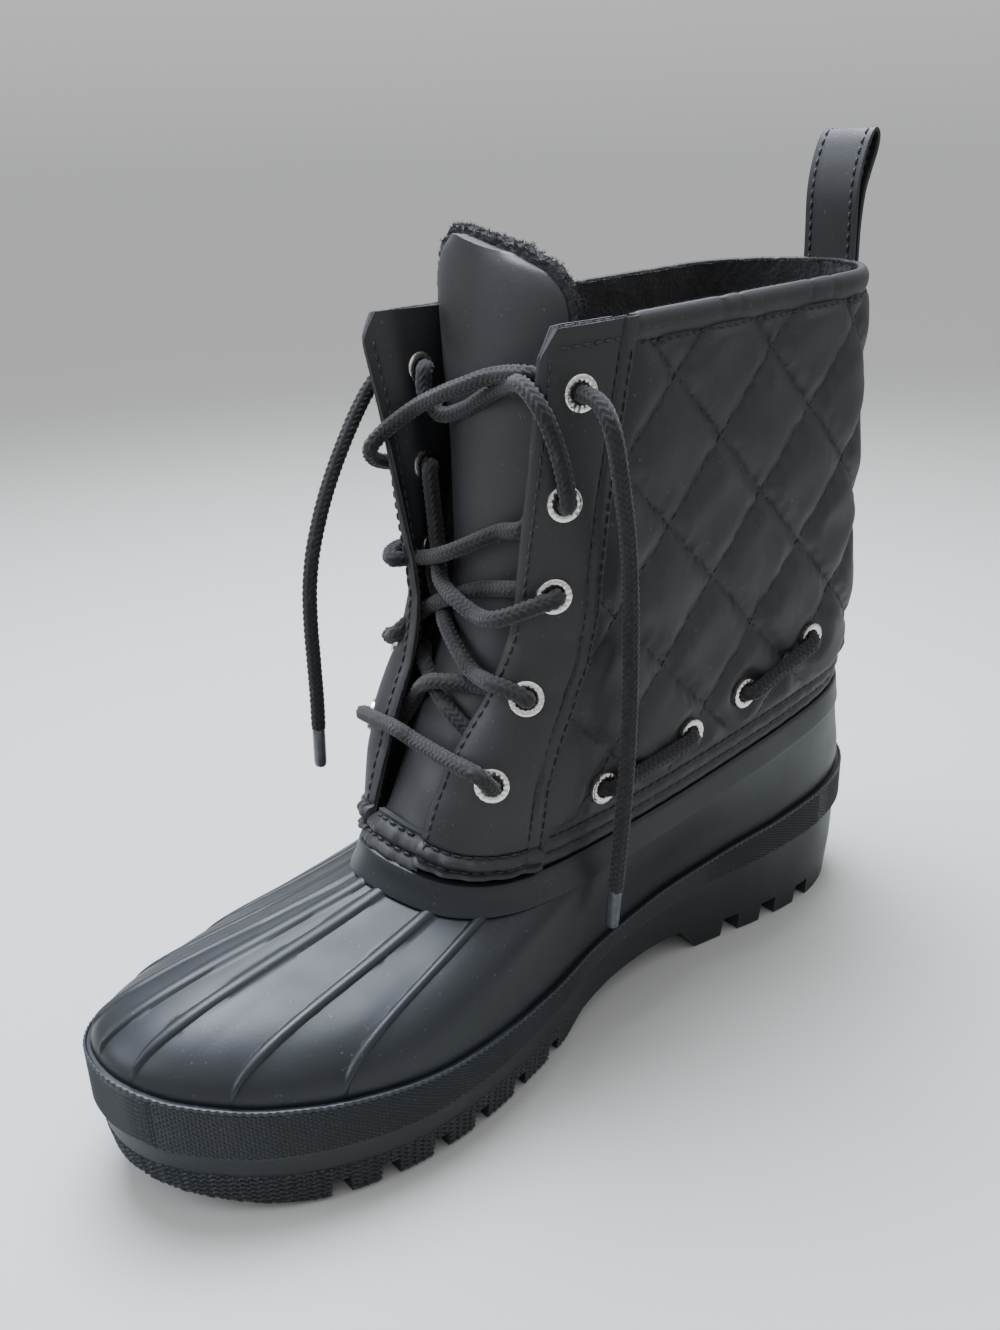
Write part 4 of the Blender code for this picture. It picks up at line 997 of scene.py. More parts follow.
def collar_roll():
    """Rolled binding over the collar's edge, pinched where a quilting line meets it."""
    alongs = np.linspace(0.96, 5.04, ROLL_COLUMNS)
    top = np.ones_like(alongs)
    tops, outs = on_shaft(alongs, top), shaft_out(alongs, top)
    run = shaft_values(RUN, alongs, top)
    pinch = np.zeros_like(alongs)
    for line in QUILT:
        pinch += np.exp(-(quilt_line_distance(line, run, tops[:, 2]) / 1.1) ** 2)
    rings = []
    for out, rise in ROLL_PROFILE:
        reach = out * (1.0 - 0.4 * pinch) if out > 0 else np.full_like(alongs, out)
        sunk = pinch[:, None] * (0.0, 0.0, 0.25 * (rise > 0))
        rings.append(tops + reach[:, None] * outs + (0.0, 0.0, rise) - sunk)
    rings = np.stack(rings)
    count, columns = rings.shape[:2]
    faces = looped_faces(count, columns, wrap=False)
    faces += [tuple(r * columns + end for r in range(count)) for end in (0, columns - 1)]
    made = add_piece("collar_roll", rings.reshape(-1, 3), faces, COATED, "coated_cloth", ("collar_band",))


def tongue_grid(grow, behind, crown=0.0, nap=0.0):
    """A layer of the tongue: grown at its edges, behind its face and crowned, in millimetres."""
    levels = np.linspace(0, len(TONGUE) - 1, TONGUE_LEVELS)
    levels, sides = np.meshgrid(levels, np.linspace(-1, 1, TONGUE_COLUMNS), indexing="ij")
    row = Fold(*np.moveaxis(smooth_rows(TONGUE, levels), -1, 0))
    bulge = crown * (1 - np.abs(sides) ** 3) * soft_step(row.z, 78.0, 110.0)
    x = row.face - row.fall * sides ** 2 - behind * (1 - 0.4 * np.abs(sides) ** 4) + bulge
    z = row.z + (0.9 * grow - 1.8) * soft_step(row.z, 225.0, 241.0)
    z = z - 4.5 * np.clip((sides + 0.5) / 1.5, 0.0, 1.0) * soft_step(row.z, 205.0, 241.0)
    spread = (2.4 * soft_step(row.z, 170.0, 215.0)
              + 3.5 * soft_step(row.z, 80.0, 96.0) * soft_step(-row.z, -150.0, -120.0))
    far_side = spread * np.clip(-sides, 0.0, 1.0)
    y = row.middle - far_side + sides * (row.half + grow * soft_step(row.z, 95.0, 130.0))
    rough = nap * RANDOM.normal(0, 1, (2,) + x.shape)
    return np.stack((x + rough[0], y, z + rough[1]), axis=-1)


def tongue_pieces():
    """Padded tongue: a crowned cloth face on a thick fleece layer that shows round its edge."""
    made = add_piece("tongue_pad", *closed_sheet(tongue_grid(0.0, 0.0, 1.9), tongue_grid(0.0, 2.2)), COATED,
                     "coated_cloth", ("tongue",))
    rim = tongue_grid(2.0, 2.3, 0.0, 0.25)
    add_piece("tongue_fleece", *closed_sheet(rim, tongue_grid(2.0, 6.6, 0.0, 0.25)), FLEECE, "fleece")
    return rim


def pull_strap():
    """Pull loop: a flat strap folded over and sewn into the collar."""
    knots = ((LOOP_PATH[0][0], LOOP_FOOT),) + LOOP_PATH + ((LOOP_PATH[-1][0], LOOP_FOOT),)
    path = smooth_rows(knots, np.linspace(0, len(knots) - 1, 121))
    along = np.gradient(path, axis=0)
    out = unit(np.column_stack((-along[:, 1], along[:, 0])))
    half, thick = LOOP_WIDTH / 2, LOOP_THICK / 2
    across = [(-half, 0.0), (-half + 0.1, 0.75), (-half + 0.6, 1.0), (-half + 2.4, 0.8), (0.0, 1.15),
              (half - 2.4, 0.8), (half - 0.6, 1.0), (half - 0.1, 0.75)]
    section = across + [(half, 0.0)] + [(y, -t) for y, t in reversed(across[1:])]
    rings = np.array([[(p[0] + t * thick * o[0], LOOP_MIDDLE + y, p[1] + t * thick * o[1])
                       for y, t in section] for p, o in zip(path, out)])
    faces = capped_faces(*rings.shape[:2])
    add_piece("pull_strap", rings.reshape(-1, 3), faces, COATED, "coated_cloth", ("pull_loop",))
    return path, out


def shell_skin():
    """Rubber shell with rounded ribs over the vamp and a stepped band at its rim; fleece inside."""
    ribs = np.array(sorted(set(RIDGES) | {RING_ROWS - row for row in RIDGES}))
    close = (ribs[:, None] + np.linspace(-0.2, 0.2, 33)).ravel()
    rows = np.sort(np.concatenate((np.arange(0, RING_ROWS, 0.11), close)))
    rows = rows[np.concatenate(([True], np.diff(rows) > 0.006))]
    shares = np.linspace(0.0, 1.0, SHELL_LEVELS)
    grid = shell_grid(rows, shares)
    out = grid_normals(grid, wrap=True)
    outer_side = soft_step(rows, TOE_ROW + 0.8, TOE_ROW + 2.2)
    outer_side = outer_side * soft_step(-rows, -TOE_ROW - 9.0, -TOE_ROW - 5.5)
    grid = grid - (FLATTER * np.sin(math.pi * shares)[:, None] * outer_side)[..., None] * out
    ahead, behind = shell_grid(rows + 0.02, shares), shell_grid(rows - 0.02, shares)
    per_row = np.linalg.norm(ahead - behind, axis=2) / 0.04
    away = np.min(np.abs(rows[:, None] - ribs[None, :]), axis=1)[None, :] * per_row
    half = (0.5 + 1.2 * soft_step(shares, 0.02, 0.4) + 0.3 * shares)[:, None]
    rib = np.clip(1.0 - (away / (half + 0.3)) ** 2, 0.0, 1.0) ** 0.7
    rib = rib * soft_step(shares, 0.03, 0.16)[:, None]
    rings = list(grid + (RIB_HEIGHT * rib * (1.0 - 0.45 * outer_side))[..., None] * out)
    ring = ring_at(rows)
    front = soft_step(-np.abs(rows - TOE_ROW), -8.5, -5.0)
    for share, outset, below, ledge in RIM_PROFILE:
        step = share * ring.lean + outset * (0.55 + 0.45 * front) + ledge * front
        rings.append(rim_ring(ring, step, below))
    inside = len(rings)
    rings.append(rim_ring(ring, -SHELL_WALL, 0.0))
    rings.append(rim_ring(ring, ring.lean - SHELL_WALL, RIM_BAND))
    for index in SHELL_INNER_LEVELS:
        inner = grid[index] - SHELL_WALL * out[index]
        if index == 0:
            inner[:, 2] = grid[0][:, 2]
        rings.append(inner)
    rings = np.stack(rings)
    count, columns = rings.shape[:2]
    faces = looped_faces(count, columns)
    made = add_piece("shell_skin", rings.reshape(-1, 3), faces, RUBBER, "moulded_rubber",
                     ("rubber_shell",), RUBBER_SMOOTH)
    made.data.materials.append(FLEECE)
    for face in made.data.polygons:
        if all(inside <= v // columns < count for v in face.vertices):
            face.material_index = 1


def peaks(numbers):
    """Heights from 0 to 1 of a row of ridges four samples apart."""
    return 1.0 - np.abs((numbers % 4) / 2.0 - 1.0)


def foxing_band():
    """Upper part of the sole: smooth strip, groove, knurled band with a ticked lip, and the cup inside."""
    rows, _ = even_rows(BAND_COLUMNS)
    ring = ring_at(rows)
    x = ring.sole[:, 0]
    steps = step_heights(x)
    index = np.arange(BAND_COLUMNS)
    rings = []
    for inset, above in STRIP_FOOT:
        rings.append(edge_ring(ring, inset, steps.lug_top + above))
    for inset, above in STRIP_TOP:
        rings.append(edge_ring(ring, inset, steps.band_foot + above))
    level_ends = soft_step(-x, -38.0, -22.0) + soft_step(x, 283.0, 288.0)
    depth = KNURL_DEPTH * (1.0 - 0.7 * soft_step(x, 78.0, 100.0) * soft_step(-x, -160.0, -135.0))
    for level in range(KNURL_ROWS):
        share = level / (KNURL_ROWS - 1)
        diamond = np.minimum(peaks(index + level), peaks(index - level))
        peak = diamond * (1 - level_ends) + peaks(np.array(level)) * level_ends
        heights = steps.band_foot + 0.6 + share * (steps.band_top - 2.2 - steps.band_foot)
        rings.append(edge_ring(ring, 0.2 - depth * peak, heights))
    tick = 0.3 * ((index // 2) % 2)
    for inset, below, ticked in LIP_PROFILE:
        rings.append(edge_ring(ring, inset - ticked * tick, steps.band_top - below))
    rings = np.stack(rings)
    faces = stacked_faces(len(rings), BAND_COLUMNS)
    add_piece("foxing_band", rings.reshape(-1, 3), faces, SOLE_RUBBER, "moulded_rubber", ("outsole",),
              BAND_SMOOTH)


def slab(outline, half_width):
    """A cutter across the foot from its side-view outline."""
    count = len(outline)
    points = [(x, side * half_width, z) for side in (-1, 1) for x, z in outline]
    faces = [tuple(range(count)), tuple(range(count, 2 * count))]
    faces += [(k, (k + 1) % count, count + (k + 1) % count, count + k) for k in range(count)]
    made = bpy.data.objects.new("cutter", new_mesh("cutter", points, faces))
    bpy.context.scene.collection.objects.link(made)
    return made


def tread():
    """Lower part of the sole: smooth heel block with notches, arch, and lugs with zig-zag walls."""
    rows, spacing = even_rows(BAND_COLUMNS)
    index = np.arange(BAND_COLUMNS)
    from_heel = np.minimum(index, BAND_COLUMNS - index)
    keep = (from_heel > 0.2 * BAND_COLUMNS) | (index % 5 == 0)
    ring = ring_at(rows[keep])
    run = index[keep] * spacing
    count = len(run)
    steps = step_heights(ring.sole[:, 0])
    zigzag = 2.0 * np.abs((run / ZIGZAG_PERIOD) % 1.0 - 0.5)
    forefoot = soft_step(ring.sole[:, 0], 152.0, 160.0)
    rings = []
    for share in np.linspace(0.0, 1.0, TREAD_LEVELS):
        heights = steps.tread + share * (steps.lug_top - 0.2 - steps.tread)
        wave = 2.0 * np.abs((heights / ZIGZAG_PITCH + 0.6 * zigzag) % 1.0 - 0.5)
        relief = ZIGZAG_DEPTH * soft_step(wave, 0.2, 0.8) * forefoot * soft_step(share, 0.0, 0.06)
        inset = LUG_INSET + share * (STRIP_INSET - LUG_INSET) + 0.5 * forefoot
        rings.append(edge_ring(ring, inset - relief, heights))
    rings.append(edge_ring(ring, LUG_INSET + 1.5, steps.lug_top + 0.6))
    rings = np.stack(rings)
    faces = stacked_faces(len(rings), count)
    made = add_piece("tread", rings.reshape(-1, 3), faces, SOLE_RUBBER, "moulded_rubber",
                     ("heel_block", "forefoot_tread"), RUBBER_SMOOTH)
    cutters = [slab(((ARCH[0][0], CUT_FLOOR), *ARCH, (ARCH[-1][0], CUT_FLOOR)), CUT_HALF)]
    cuts = [(x, *NOTCH) for x in HEEL_NOTCHES] + [(x, *GROOVE) for x in FOREFOOT_GROOVES]
    for x, width, height, draft in cuts:
        half = width / 2
        cutters.append(slab(((x - half, CUT_FLOOR), (x + half, CUT_FLOOR), (x + half - draft, height),
                             (x - half + draft, height)), CUT_HALF))
    for cutter in cutters:
        cut = made.modifiers.new("cut", "BOOLEAN")
        cut.object = cutter
        cut.operation = "DIFFERENCE"
        cut.solver = "EXACT"
    bpy.context.view_layer.update()
    done = bpy.data.meshes.new_from_object(made.evaluated_get(bpy.context.evaluated_depsgraph_get()))
    made.modifiers.clear()
    made.data = done
    done.shade_smooth()
    done.set_sharp_from_angle(angle=math.radians(RUBBER_SMOOTH))
    for cutter in cutters:
        bpy.data.objects.remove(cutter, do_unlink=True)


def footbed():
    """Fleece footbed in the sole's cup."""
    rows, _ = even_rows(FOOTBED_COLUMNS)
    ring = ring_at(rows)
    floor = step_heights(ring.sole[:, 0]).band_top + GAP - CUP_DEPTH
    top = floor + INSOLE_THICK
    nap = RANDOM.normal(0, 0.15, FOOTBED_COLUMNS)
    levels = ((INSOLE_INSET, floor), (INSOLE_INSET, top - 1.0), (INSOLE_INSET + 1.0, top + nap))
    rings = np.stack([edge_ring(ring, inset, heights) for inset, heights in levels])
    faces = stacked_faces(len(rings), FOOTBED_COLUMNS)
    made = add_piece("footbed", rings.reshape(-1, 3), faces, FLEECE, "fleece", ("insole",))


def eyelet_ring(name, along, up, lift, depth, node):
    """A flat metal ring with small dents, its barrel through the cloth and a smaller flange inside."""
    centre, axis = on_shaft(along, up, lift), shaft_out(along, up)
    first = unit(np.cross(axis, (0.0, 0.0, 1.0)))
    second = np.cross(axis, first)
    turns = np.linspace(0, 2 * math.pi, EYELET_SIDES, endpoint=False)
    round_about = np.cos(turns)[:, None] * first + np.sin(turns)[:, None] * second
    dents = EYELET_DENT * (0.5 + 0.5 * np.cos(EYELET_DENTS * turns))
    rings = []
    for radius, height, dented in EYELET_PROFILE:
        rings.append(centre + radius * round_about + (height - dented * dents)[:, None] * axis)
    flange = EYELET_HOLE + 1.9
    for radius, height in ((EYELET_HOLE, 0.4 - depth), (EYELET_HOLE + 0.5, -depth), (flange - 0.5, -depth),
                           (flange, 0.4 - depth), (flange, 0.8 - depth), (EYELET_HOLE + 0.4, 0.8 - depth),
                           (EYELET_HOLE + 0.4, -0.5)):
        rings.append(centre + radius * round_about + height * axis)
    rings = np.stack(rings)
    count, columns = rings.shape[:2]
    add_piece(name, rings.reshape(-1, 3), looped_faces(count, columns), NICKEL, "nickel_plate", (node,))


def eyelet_rings():
    """Rings of the lace eyelets on the flaps and of the ankle eyelets on the sides."""
    for side, inner_side in SIDES:
        for index in range(len(LACE_EYELETS)):
            eyelet_ring(f"lace_ring_{side}_{index + 1}", *lace_place(index, inner_side),
                        EYELET_SEAT - EYELET_SINK, LACE_BARREL, f"lace_eyelet_{side}_{index + 1}")
        for index in range(len(SIDE_EYELETS)):
            eyelet_ring(f"ankle_ring_{side}_{index + 1}", *side_place(index, inner_side), GAP, ANKLE_BARREL,
                        f"side_eyelet_{side}_{index + 1}")


def even_path(points, spacing):
    """A route read again at equal distances."""
    points = np.asarray(points, float)
    run = run_lengths(points)
    places = np.linspace(0.0, run[-1], max(4, int(run[-1] / spacing)))
    return np.column_stack([np.interp(places, run, points[:, k]) for k in range(3)]), places


def braided_tube(route):
    """Points and faces of a braided cord: columns of slanted yarns that lean left and right by turns."""
    path, run = even_path(route, BRAID_STEP)
    along = unit(np.gradient(path, axis=0))
    across = np.cross(along[0], (0.31, 0.17, 0.93))
    turns = np.arange(BRAID_SIDES) / BRAID_SIDES
    column = np.floor(turns * BRAID_COLUMNS)
    within = turns * BRAID_COLUMNS - column - 0.5 + 0.5 * BRAID_COLUMNS / BRAID_SIDES
    slant = BRAID_SLANT * np.where(column % 2 == 0, within, -within)
    swell = 1 - (2 * np.abs(within)) ** 4
    cosine, sine = np.cos(2 * math.pi * turns)[:, None], np.sin(2 * math.pi * turns)[:, None]
    rings = []
    for here, aim, travelled in zip(path, along, run):
        across = unit(across - aim * (across @ aim))
        yarn = 0.5 + 0.5 * np.cos(2 * math.pi * (travelled / BRAID_PITCH + slant))
        reach = (LACE_RADIUS - YARN_HEIGHT * (1 - yarn * swell))[:, None]
        rings.append(here + reach * (cosine * across + sine * np.cross(aim, across)))
    return np.concatenate(rings), capped_faces(len(rings), BRAID_SIDES)


def joined(parts):
    """Several meshes as one list of points and faces."""
    points, faces, start = [], [], 0
    for part_points, part_faces in parts:
        points.append(part_points)
        faces += [tuple(int(index) + start for index in face) for face in part_faces]
        start += len(part_points)
    return np.concatenate(points), faces


def through_eyelet(eyelet, lifts):
    """Points on the line through a lace eyelet, at lifts off the shaft."""
    inner_side, number = eyelet
    place = lace_place(number - 1, inner_side)
    return [on_shaft(*place, lift) for lift in lifts]


def crossed_laces():
    """The lace through its eyelets and over the tongue, one piece for each crossing."""
    routes = []
    for number in sorted({run.crossing for run in LACE_RUNS}):
        tubes = []
        for run in LACE_RUNS:
            if run.crossing == number:
                knots = through_eyelet(run.start, run.start_lifts)
                knots += [np.array(point) for point in run.between]
                knots += through_eyelet(run.end, run.end_lifts)
                routes.append(smooth_rows(knots, np.linspace(0, len(knots) - 1, 160)))
                tubes.append(braided_tube(routes[-1]))
        add_piece(f"crossed_lace_{number}", *joined(tubes), CORD, "braided_cord",
                  (f"lace_cross_{number}",), CORD_SMOOTH)
    return routes


def ankle_cords():
    """Ankle cord where it shows, out of one eyelet and into the next."""
    routes = []
    for side, inner_side in SIDES:
        for part, first in (("front", 0), ("rear", 2)):
            ends = np.array([side_place(first + step, inner_side) for step in (0, 1)])
            knots = [on_shaft(*(ends[0] + share * (ends[1] - ends[0])), lift) for share, lift in ANKLE_CORD]
            routes.append(smooth_rows(knots, np.linspace(0, len(knots) - 1, 90)))
            add_piece(f"ankle_cord_{side}_{part}", *braided_tube(routes[-1]), CORD, "braided_cord",
                      (f"side_lace_{side}_{part}",), CORD_SMOOTH)
    return routes


def lace_sleeve(side, start, aim):
    """A film sleeve squeezed at both ends."""
    across = unit(np.cross(aim, (1.0, 0.0, 0.0)))
    other = np.cross(aim, across)
    turns = np.linspace(0, 2 * math.pi, TIP_SIDES, endpoint=False)
    round_about = np.cos(turns)[:, None] * across + TIP_FLAT * np.sin(turns)[:, None] * other
    rings = np.array([start + d * aim + TIP_RADIUS * r * round_about for d, r in TIP_PROFILE])
    faces = capped_faces(*rings.shape[:2])
    return add_piece(f"lace_sleeve_{side}", rings.reshape(-1, 3), faces, TIP_FILM, "clear_tip",
                     (f"lace_tip_{side}",))


def loose_laces():
    """Free lace ends, which hang limp from the top eyelets to their film tips."""
    routes = []
    for side, route in (("medial", LACE_END_INNER), ("lateral", LACE_END_OUTER)):
        path = smooth_rows(route, np.linspace(0, len(route) - 1, 161))
        cord = add_piece(f"loose_lace_{side}", *braided_tube(path), CORD, "braided_cord",
                         (f"lace_end_{side}",), CORD_SMOOTH)
        aim = unit(np.array(route[-1]) - np.array(route[-2]))
        tip = lace_sleeve(side, path[-1] + GAP * aim, aim)
        routes.append(path)
    return routes


def stitch_meshes(path, out, lift=0.0):
    """Separate sewn stitches along a path that lies on a surface."""
    path = np.asarray(path, float) + lift * out
    run = run_lengths(path)
    made = []
    for at in np.arange(STITCH_SPACING / 2, run[-1] - STITCH_SPACING / 2, STITCH_SPACING):
        ends = [np.array([np.interp(at + step * STITCH_LENGTH, run, path[:, k]) for k in range(3)])
                for step in (-0.5, 0.5)]
        up = np.array([np.interp(at, run, out[:, k]) for k in range(3)])
        aim = ends[1] - ends[0]
        side = unit(np.cross(aim, up))
        up = unit(np.cross(side, aim))
        middle = (ends[0] + ends[1]) / 2
        points = []
        for share, wide, rise in STITCH_PROFILE:
            for turn in np.arange(STITCH_SIDES) * 2 * math.pi / STITCH_SIDES:
                reach = wide * STITCH_RADIUS
                points.append(middle + share * aim + reach * math.cos(turn) * side
                              + (reach * math.sin(turn) + rise * STITCH_RADIUS) * up)
        made.append((np.array(points), capped_faces(len(STITCH_PROFILE), STITCH_SIDES)))
    return made


def shaft_stitches(alongs, ups, lift):
    """Stitches along places on the shaft."""
    return stitch_meshes(on_shaft(alongs, ups, lift), shaft_out(alongs, ups))


def quilt_paths():
    """Where the quilting's stitched lines run on the shaft, one path for each line."""
    z = SHAFT[:, :, 2]
    paths = []
    for line in QUILT:
        value = (z - line.slope * RUN - line.first) / line.spacing
        for number in range(math.floor(value.min()), math.ceil(value.max()) + 1):
            for half in (range(102, 301), range(300, 499)):
                alongs, ups = [], []
                for column in half:
                    if value[0, column] < number < value[-1, column]:
                        alongs.append(SHAFT_ALONGS[column])
                        ups.append(np.interp(number, value[:, column], SHAFT_UPS))
                if len(alongs) > 6:
                    paths.append((np.array(alongs), np.array(ups)))
    return paths


def height_path(start, end, above=None, below=None, count=160):
    """Places along the shaft at a set distance above the rim or below the collar."""
    alongs = np.linspace(start, end, count)
    if above is not None:
        heights = on_shaft(alongs, np.zeros(count))[:, 2] + above
    else:
        heights = on_shaft(alongs, np.ones(count))[:, 2] - below
    return alongs, np.array([up_for_height(a, h) for a, h in zip(alongs, heights)])


def seam_path(start, toward, distance, low=0.06, high=0.97):
    """Places at a set distance from an edge line of the shaft, all the way up."""
    ups = np.linspace(low, high, 120)
    alongs = []
    trial = start + toward * np.linspace(0, 0.6, 121)
    for up in ups:
        reach = np.linalg.norm(on_shaft(trial, np.full(121, up)) - on_shaft(start, up), axis=1)
        alongs.append(np.interp(distance, reach, trial))
    return np.array(alongs), ups


def quilt_stitches():
    """Stitches in the quilting's channels and down the back seam."""
    stitches = []
    for alongs, ups in quilt_paths():
        above, below = edge_heights(alongs, ups)
        keep = (above > HEM_SEAMS[1] + 1.5) & (below > COLLAR_BAND)
        if keep.sum() > 6:
            alongs, ups = alongs[keep], ups[keep]
            stitches += shaft_stitches(alongs, ups, quilt_height(alongs, ups) + 0.12)
    ups = np.linspace(0.08, 0.95, 160)
    alongs = np.full(len(ups), 3.0)
    stitches += shaft_stitches(alongs, ups, quilt_height(alongs, ups) + 0.12)
    add_piece("quilt_stitches", *joined(stitches), THREAD, "coated_cloth", (), STITCH_SMOOTH)


def seam_stitches(loop_path, loop_out):
    """Seams of the hem, the collar, the flaps and the pull loop."""
    seams = []
    for above in HEM_SEAMS:
        path = height_path(1.04, 4.96, above=above, count=300)
        seams += shaft_stitches(*path, quilt_height(*path) + 0.2)
    path = height_path(1.04, 4.96, below=COLLAR_BAND + 0.6, count=300)
    seams += shaft_stitches(*path, quilt_height(*path) + 0.15)
    for start, toward in THROATS:
        paths = [seam_path(start, toward, 2.6), seam_path(start + toward, -toward, 1.0),
                 seam_path(start + toward, -toward, STAY_STRIP + 0.6)]
        for above in HEM_SEAMS:
            paths.append(height_path(start + 0.04 * toward, start + 0.96 * toward, above=above, count=60))
        paths.append(height_path(start + 0.16 * toward, start + 0.9 * toward, below=5.0, count=60))
        for path, lift in zip(paths, FLAP_SEAM_LIFTS):
            seams += shaft_stitches(*path, eyestay_lift(*path, start) + lift)
        path = seam_path(start, toward, 2.6)
        seams += stitch_meshes(on_shaft(*path, facing_lift(*path, start)), -shaft_out(*path), 0.1)
    ring = ring_at(np.linspace(THROAT_ROW, RING_ROWS - FAR_THROAT_ROW, 60))
    for above in HEM_SEAMS:
        out = np.column_stack((ring.rim_out, np.full(60, 0.5)))
        seams += stitch_meshes(rim_ring(ring, 1.0 - HEM_LEAN * above, -above), out, 0.1)
    for side in (-1, 1):
        for face in (-1, 1):
            out = face * np.column_stack((loop_out[:, 0], np.zeros(len(loop_out)), loop_out[:, 1]))
            row = np.full(len(loop_path), LOOP_MIDDLE + side * (LOOP_WIDTH / 2 - 2.4))
            seams += stitch_meshes(np.column_stack((loop_path[:, 0], row, loop_path[:, 1])), out, 0.8)
    add_piece("seam_stitches", *joined(seams), THREAD, "coated_cloth", (), STITCH_SMOOTH)


def fibres(name, roots, aims, reach, finish, slot):
    """Loose fibres: slim closed spikes that stand off at random angles."""
    count = len(roots)
    aims = unit(aims + 0.6 * RANDOM.normal(0.0, 1.0, (count, 3)))
    lengths = reach * RANDOM.uniform(0.35, 1.0, (count, 1))
    side = np.cross(aims, RANDOM.normal(0.0, 1.0, (count, 3)))
    side *= FIBRE_RADIUS / np.linalg.norm(side, axis=1, keepdims=True)
    other = np.cross(aims, side)
    points = np.stack((roots + side, roots - 0.5 * side + 0.87 * other, roots - 0.5 * side - 0.87 * other,
                       roots + lengths * aims), axis=1)
    corners = np.array(((0, 1, 3), (1, 2, 3), (2, 0, 3), (0, 2, 1)))
    faces = (np.arange(count)[:, None, None] * 4 + corners).reshape(-1, 3).tolist()
    add_piece(name, points.reshape(-1, 3), faces, finish, slot, (), 10.0)


def fuzz(tongue_rim, cord_routes):
    """Loose fibres on the fleece's edges, the cut edges of the flaps and the cords."""
    alongs = RANDOM.uniform(1.02, 4.98, COLLAR_FIBRES)
    top = np.full(COLLAR_FIBRES, 0.998)
    roots = [on_shaft(alongs, top, RANDOM.uniform(-4.2, -2.6, COLLAR_FIBRES))]
    aims = [np.tile((0.0, 0.0, 1.0), (COLLAR_FIBRES, 1)) - 0.6 * shaft_out(alongs, top)]
    alongs = RANDOM.uniform(1.0, 5.0, LINING_FIBRES)
    ups = RANDOM.uniform(0.7, 0.998, LINING_FIBRES)
    roots.append(on_shaft(alongs, ups, np.full(LINING_FIBRES, -SHAFT_WALL - 0.5)))
    aims.append(-shaft_out(alongs, ups))
    sides = tongue_rim[TONGUE_FUZZ_FROM:]
    edge = np.concatenate((sides[:, -1], tongue_rim[-1, ::-1], sides[:, 0]))
    pick = RANDOM.integers(0, len(edge), TONGUE_FIBRES)
    roots.append(edge[pick] - RANDOM.uniform(0, 3.5, (TONGUE_FIBRES, 1)) * (1.0, 0.0, 0.0))
    aims.append(unit(edge[pick] - np.array((150.0, 0.0, 205.0))))
    fibres("fleece_fuzz", np.concatenate(roots), np.concatenate(aims), 1.5, FLEECE, "fleece")
    roots, aims = [], []
    for start, toward in THROATS:
        shares = RANDOM.uniform(CORNER_CUT, 1.0, FLAP_FIBRES)
        top = np.ones(FLAP_FIBRES)
        roots.append(on_shaft(start + toward * shares, top, RANDOM.uniform(-0.3, 1.4, FLAP_FIBRES)))
        aims.append(np.tile((0.0, 0.0, 1.0), (FLAP_FIBRES, 1)))
        ups = RANDOM.uniform(0.1, CORNER_START, FLAP_FIBRES)
        edge = np.full(FLAP_FIBRES, start)
        roots.append(on_shaft(edge, ups, RANDOM.uniform(-2.4, 0.5, FLAP_FIBRES)))
        aims.append(unit(on_shaft(edge, ups) - on_shaft(edge + 0.1 * toward, ups)))
    fibres("cut_edge_fuzz", np.concatenate(roots), np.concatenate(aims), 0.8, CUT_EDGE, "coated_cloth")
    path = np.concatenate([even_path(route, 0.5)[0][4:-4] for route in cord_routes])
    pick = RANDOM.integers(0, len(path), CORD_FIBRES)
    aims = unit(RANDOM.normal(0.0, 1.0, (CORD_FIBRES, 3)))
    fibres("cord_fuzz", path[pick] + (LACE_RADIUS - 0.3) * aims, aims, 1.1, CORD, "braided_cord")


def camera():
    """The camera, where it stood for the photo."""
    yaw, pitch, roll = (math.radians(a) for a in (CAMERA_YAW, CAMERA_PITCH, CAMERA_ROLL))
    aim = np.array((math.cos(yaw) * math.cos(pitch), math.sin(yaw) * math.cos(pitch), -math.sin(pitch)))
    level = unit(np.cross(aim, (0.0, 0.0, 1.0)))
    down = np.cross(aim, level)
    right = math.cos(roll) * level + math.sin(roll) * down
    down = math.cos(roll) * down - math.sin(roll) * level
    data = bpy.data.cameras.new("camera")
    data.sensor_width = SENSOR
    data.lens = FOCAL_PIXELS / FRAME_LONG_SIDE * SENSOR
    data.clip_start = 0.01
    made = bpy.data.objects.new("camera", data)
    turn = Matrix((right, -down, -aim)).transposed().to_4x4()
    made.matrix_world = Matrix.Translation(to_frame(CAMERA_AT)) @ turn
    bpy.context.scene.collection.objects.link(made)
    bpy.context.scene.camera = made


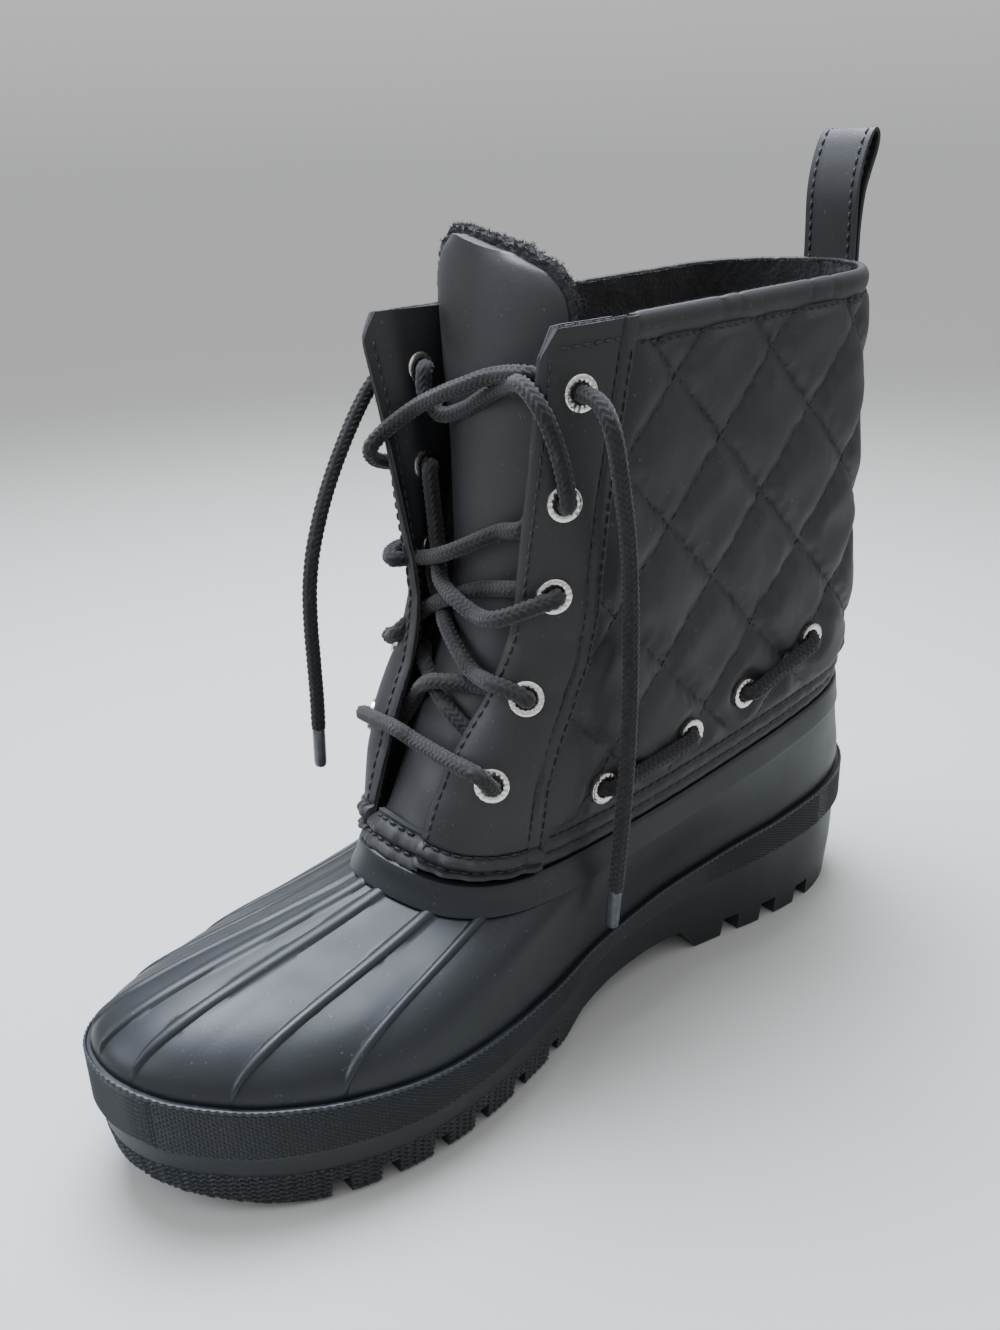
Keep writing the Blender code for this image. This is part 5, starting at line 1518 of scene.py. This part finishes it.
def soft_light(name, place, power, spread):
    """A large round lamp aimed at the boot."""
    data = bpy.data.lights.new(name, "AREA")
    data.shape = "DISK"
    data.size = LAMP_SIZE
    data.energy = power
    data.spread = math.radians(spread)
    data.color = linear(LAMP)[:3]
    made = bpy.data.objects.new(name, data)
    toward = Vector(place) - Vector(LAMP_AIM)
    made.rotation_mode = "QUATERNION"
    made.rotation_quaternion = toward.to_track_quat("Z", "Y")
    made.location = place
    bpy.context.scene.collection.objects.link(made)


def studio():
    """Pale floor that runs out to a soft grey horizon, and large soft lights overhead and in front."""
    mesh = bpy.data.meshes.new("floor")
    corners = ((-1, -1), (1, -1), (1, 1), (-1, 1))
    mesh.from_pydata([(FLOOR_HALF * x, FLOOR_HALF * y, 0.0) for x, y in corners], [], [(0, 1, 2, 3)])
    floor = bpy.data.objects.new("floor", mesh)
    floor.location.z = -FLOOR_DROP
    mesh.materials.append(PAPER)
    bpy.context.scene.collection.objects.link(floor)
    world = bpy.data.worlds.new("soft_room")
    world.use_nodes = True
    tree = world.node_tree
    aim = add(tree, "ShaderNodeTexCoord").outputs["Generated"]
    rise = add(tree, "ShaderNodeSeparateXYZ", {"Vector": aim}).outputs["Z"]
    tint = linear(HORIZON)
    for low, high, colour in ROOM_COLOURS:
        share = add(tree, "ShaderNodeMapRange",
                    {"Value": rise, "From Min": low, "From Max": high}).outputs["Result"]
        tint = add(tree, "ShaderNodeMix", {"Factor": share, "A": tint, "B": linear(colour)},
                   data_type="RGBA").outputs["Result"]
    tree.links.new(tint, tree.nodes["Background"].inputs["Color"])
    tree.nodes["Background"].inputs["Strength"].default_value = ROOM_LIGHT
    bpy.context.scene.world = world
    for lamp in LAMPS:
        soft_light(*lamp)


def main():
    """Sets up the studio and makes every piece of the boot."""
    camera()
    studio()
    routes = loose_laces()
    tread()
    foxing_band()
    shell_skin()
    footbed()
    quilted_shaft()
    fleece_lining()
    flap_pieces()
    front_hem()
    collar_roll()
    tongue_rim = tongue_pieces()
    loop_path, loop_out = pull_strap()
    eyelet_rings()
    routes += crossed_laces() + ankle_cords()
    quilt_stitches()
    seam_stitches(loop_path, loop_out)
    fuzz(tongue_rim, routes)


main()
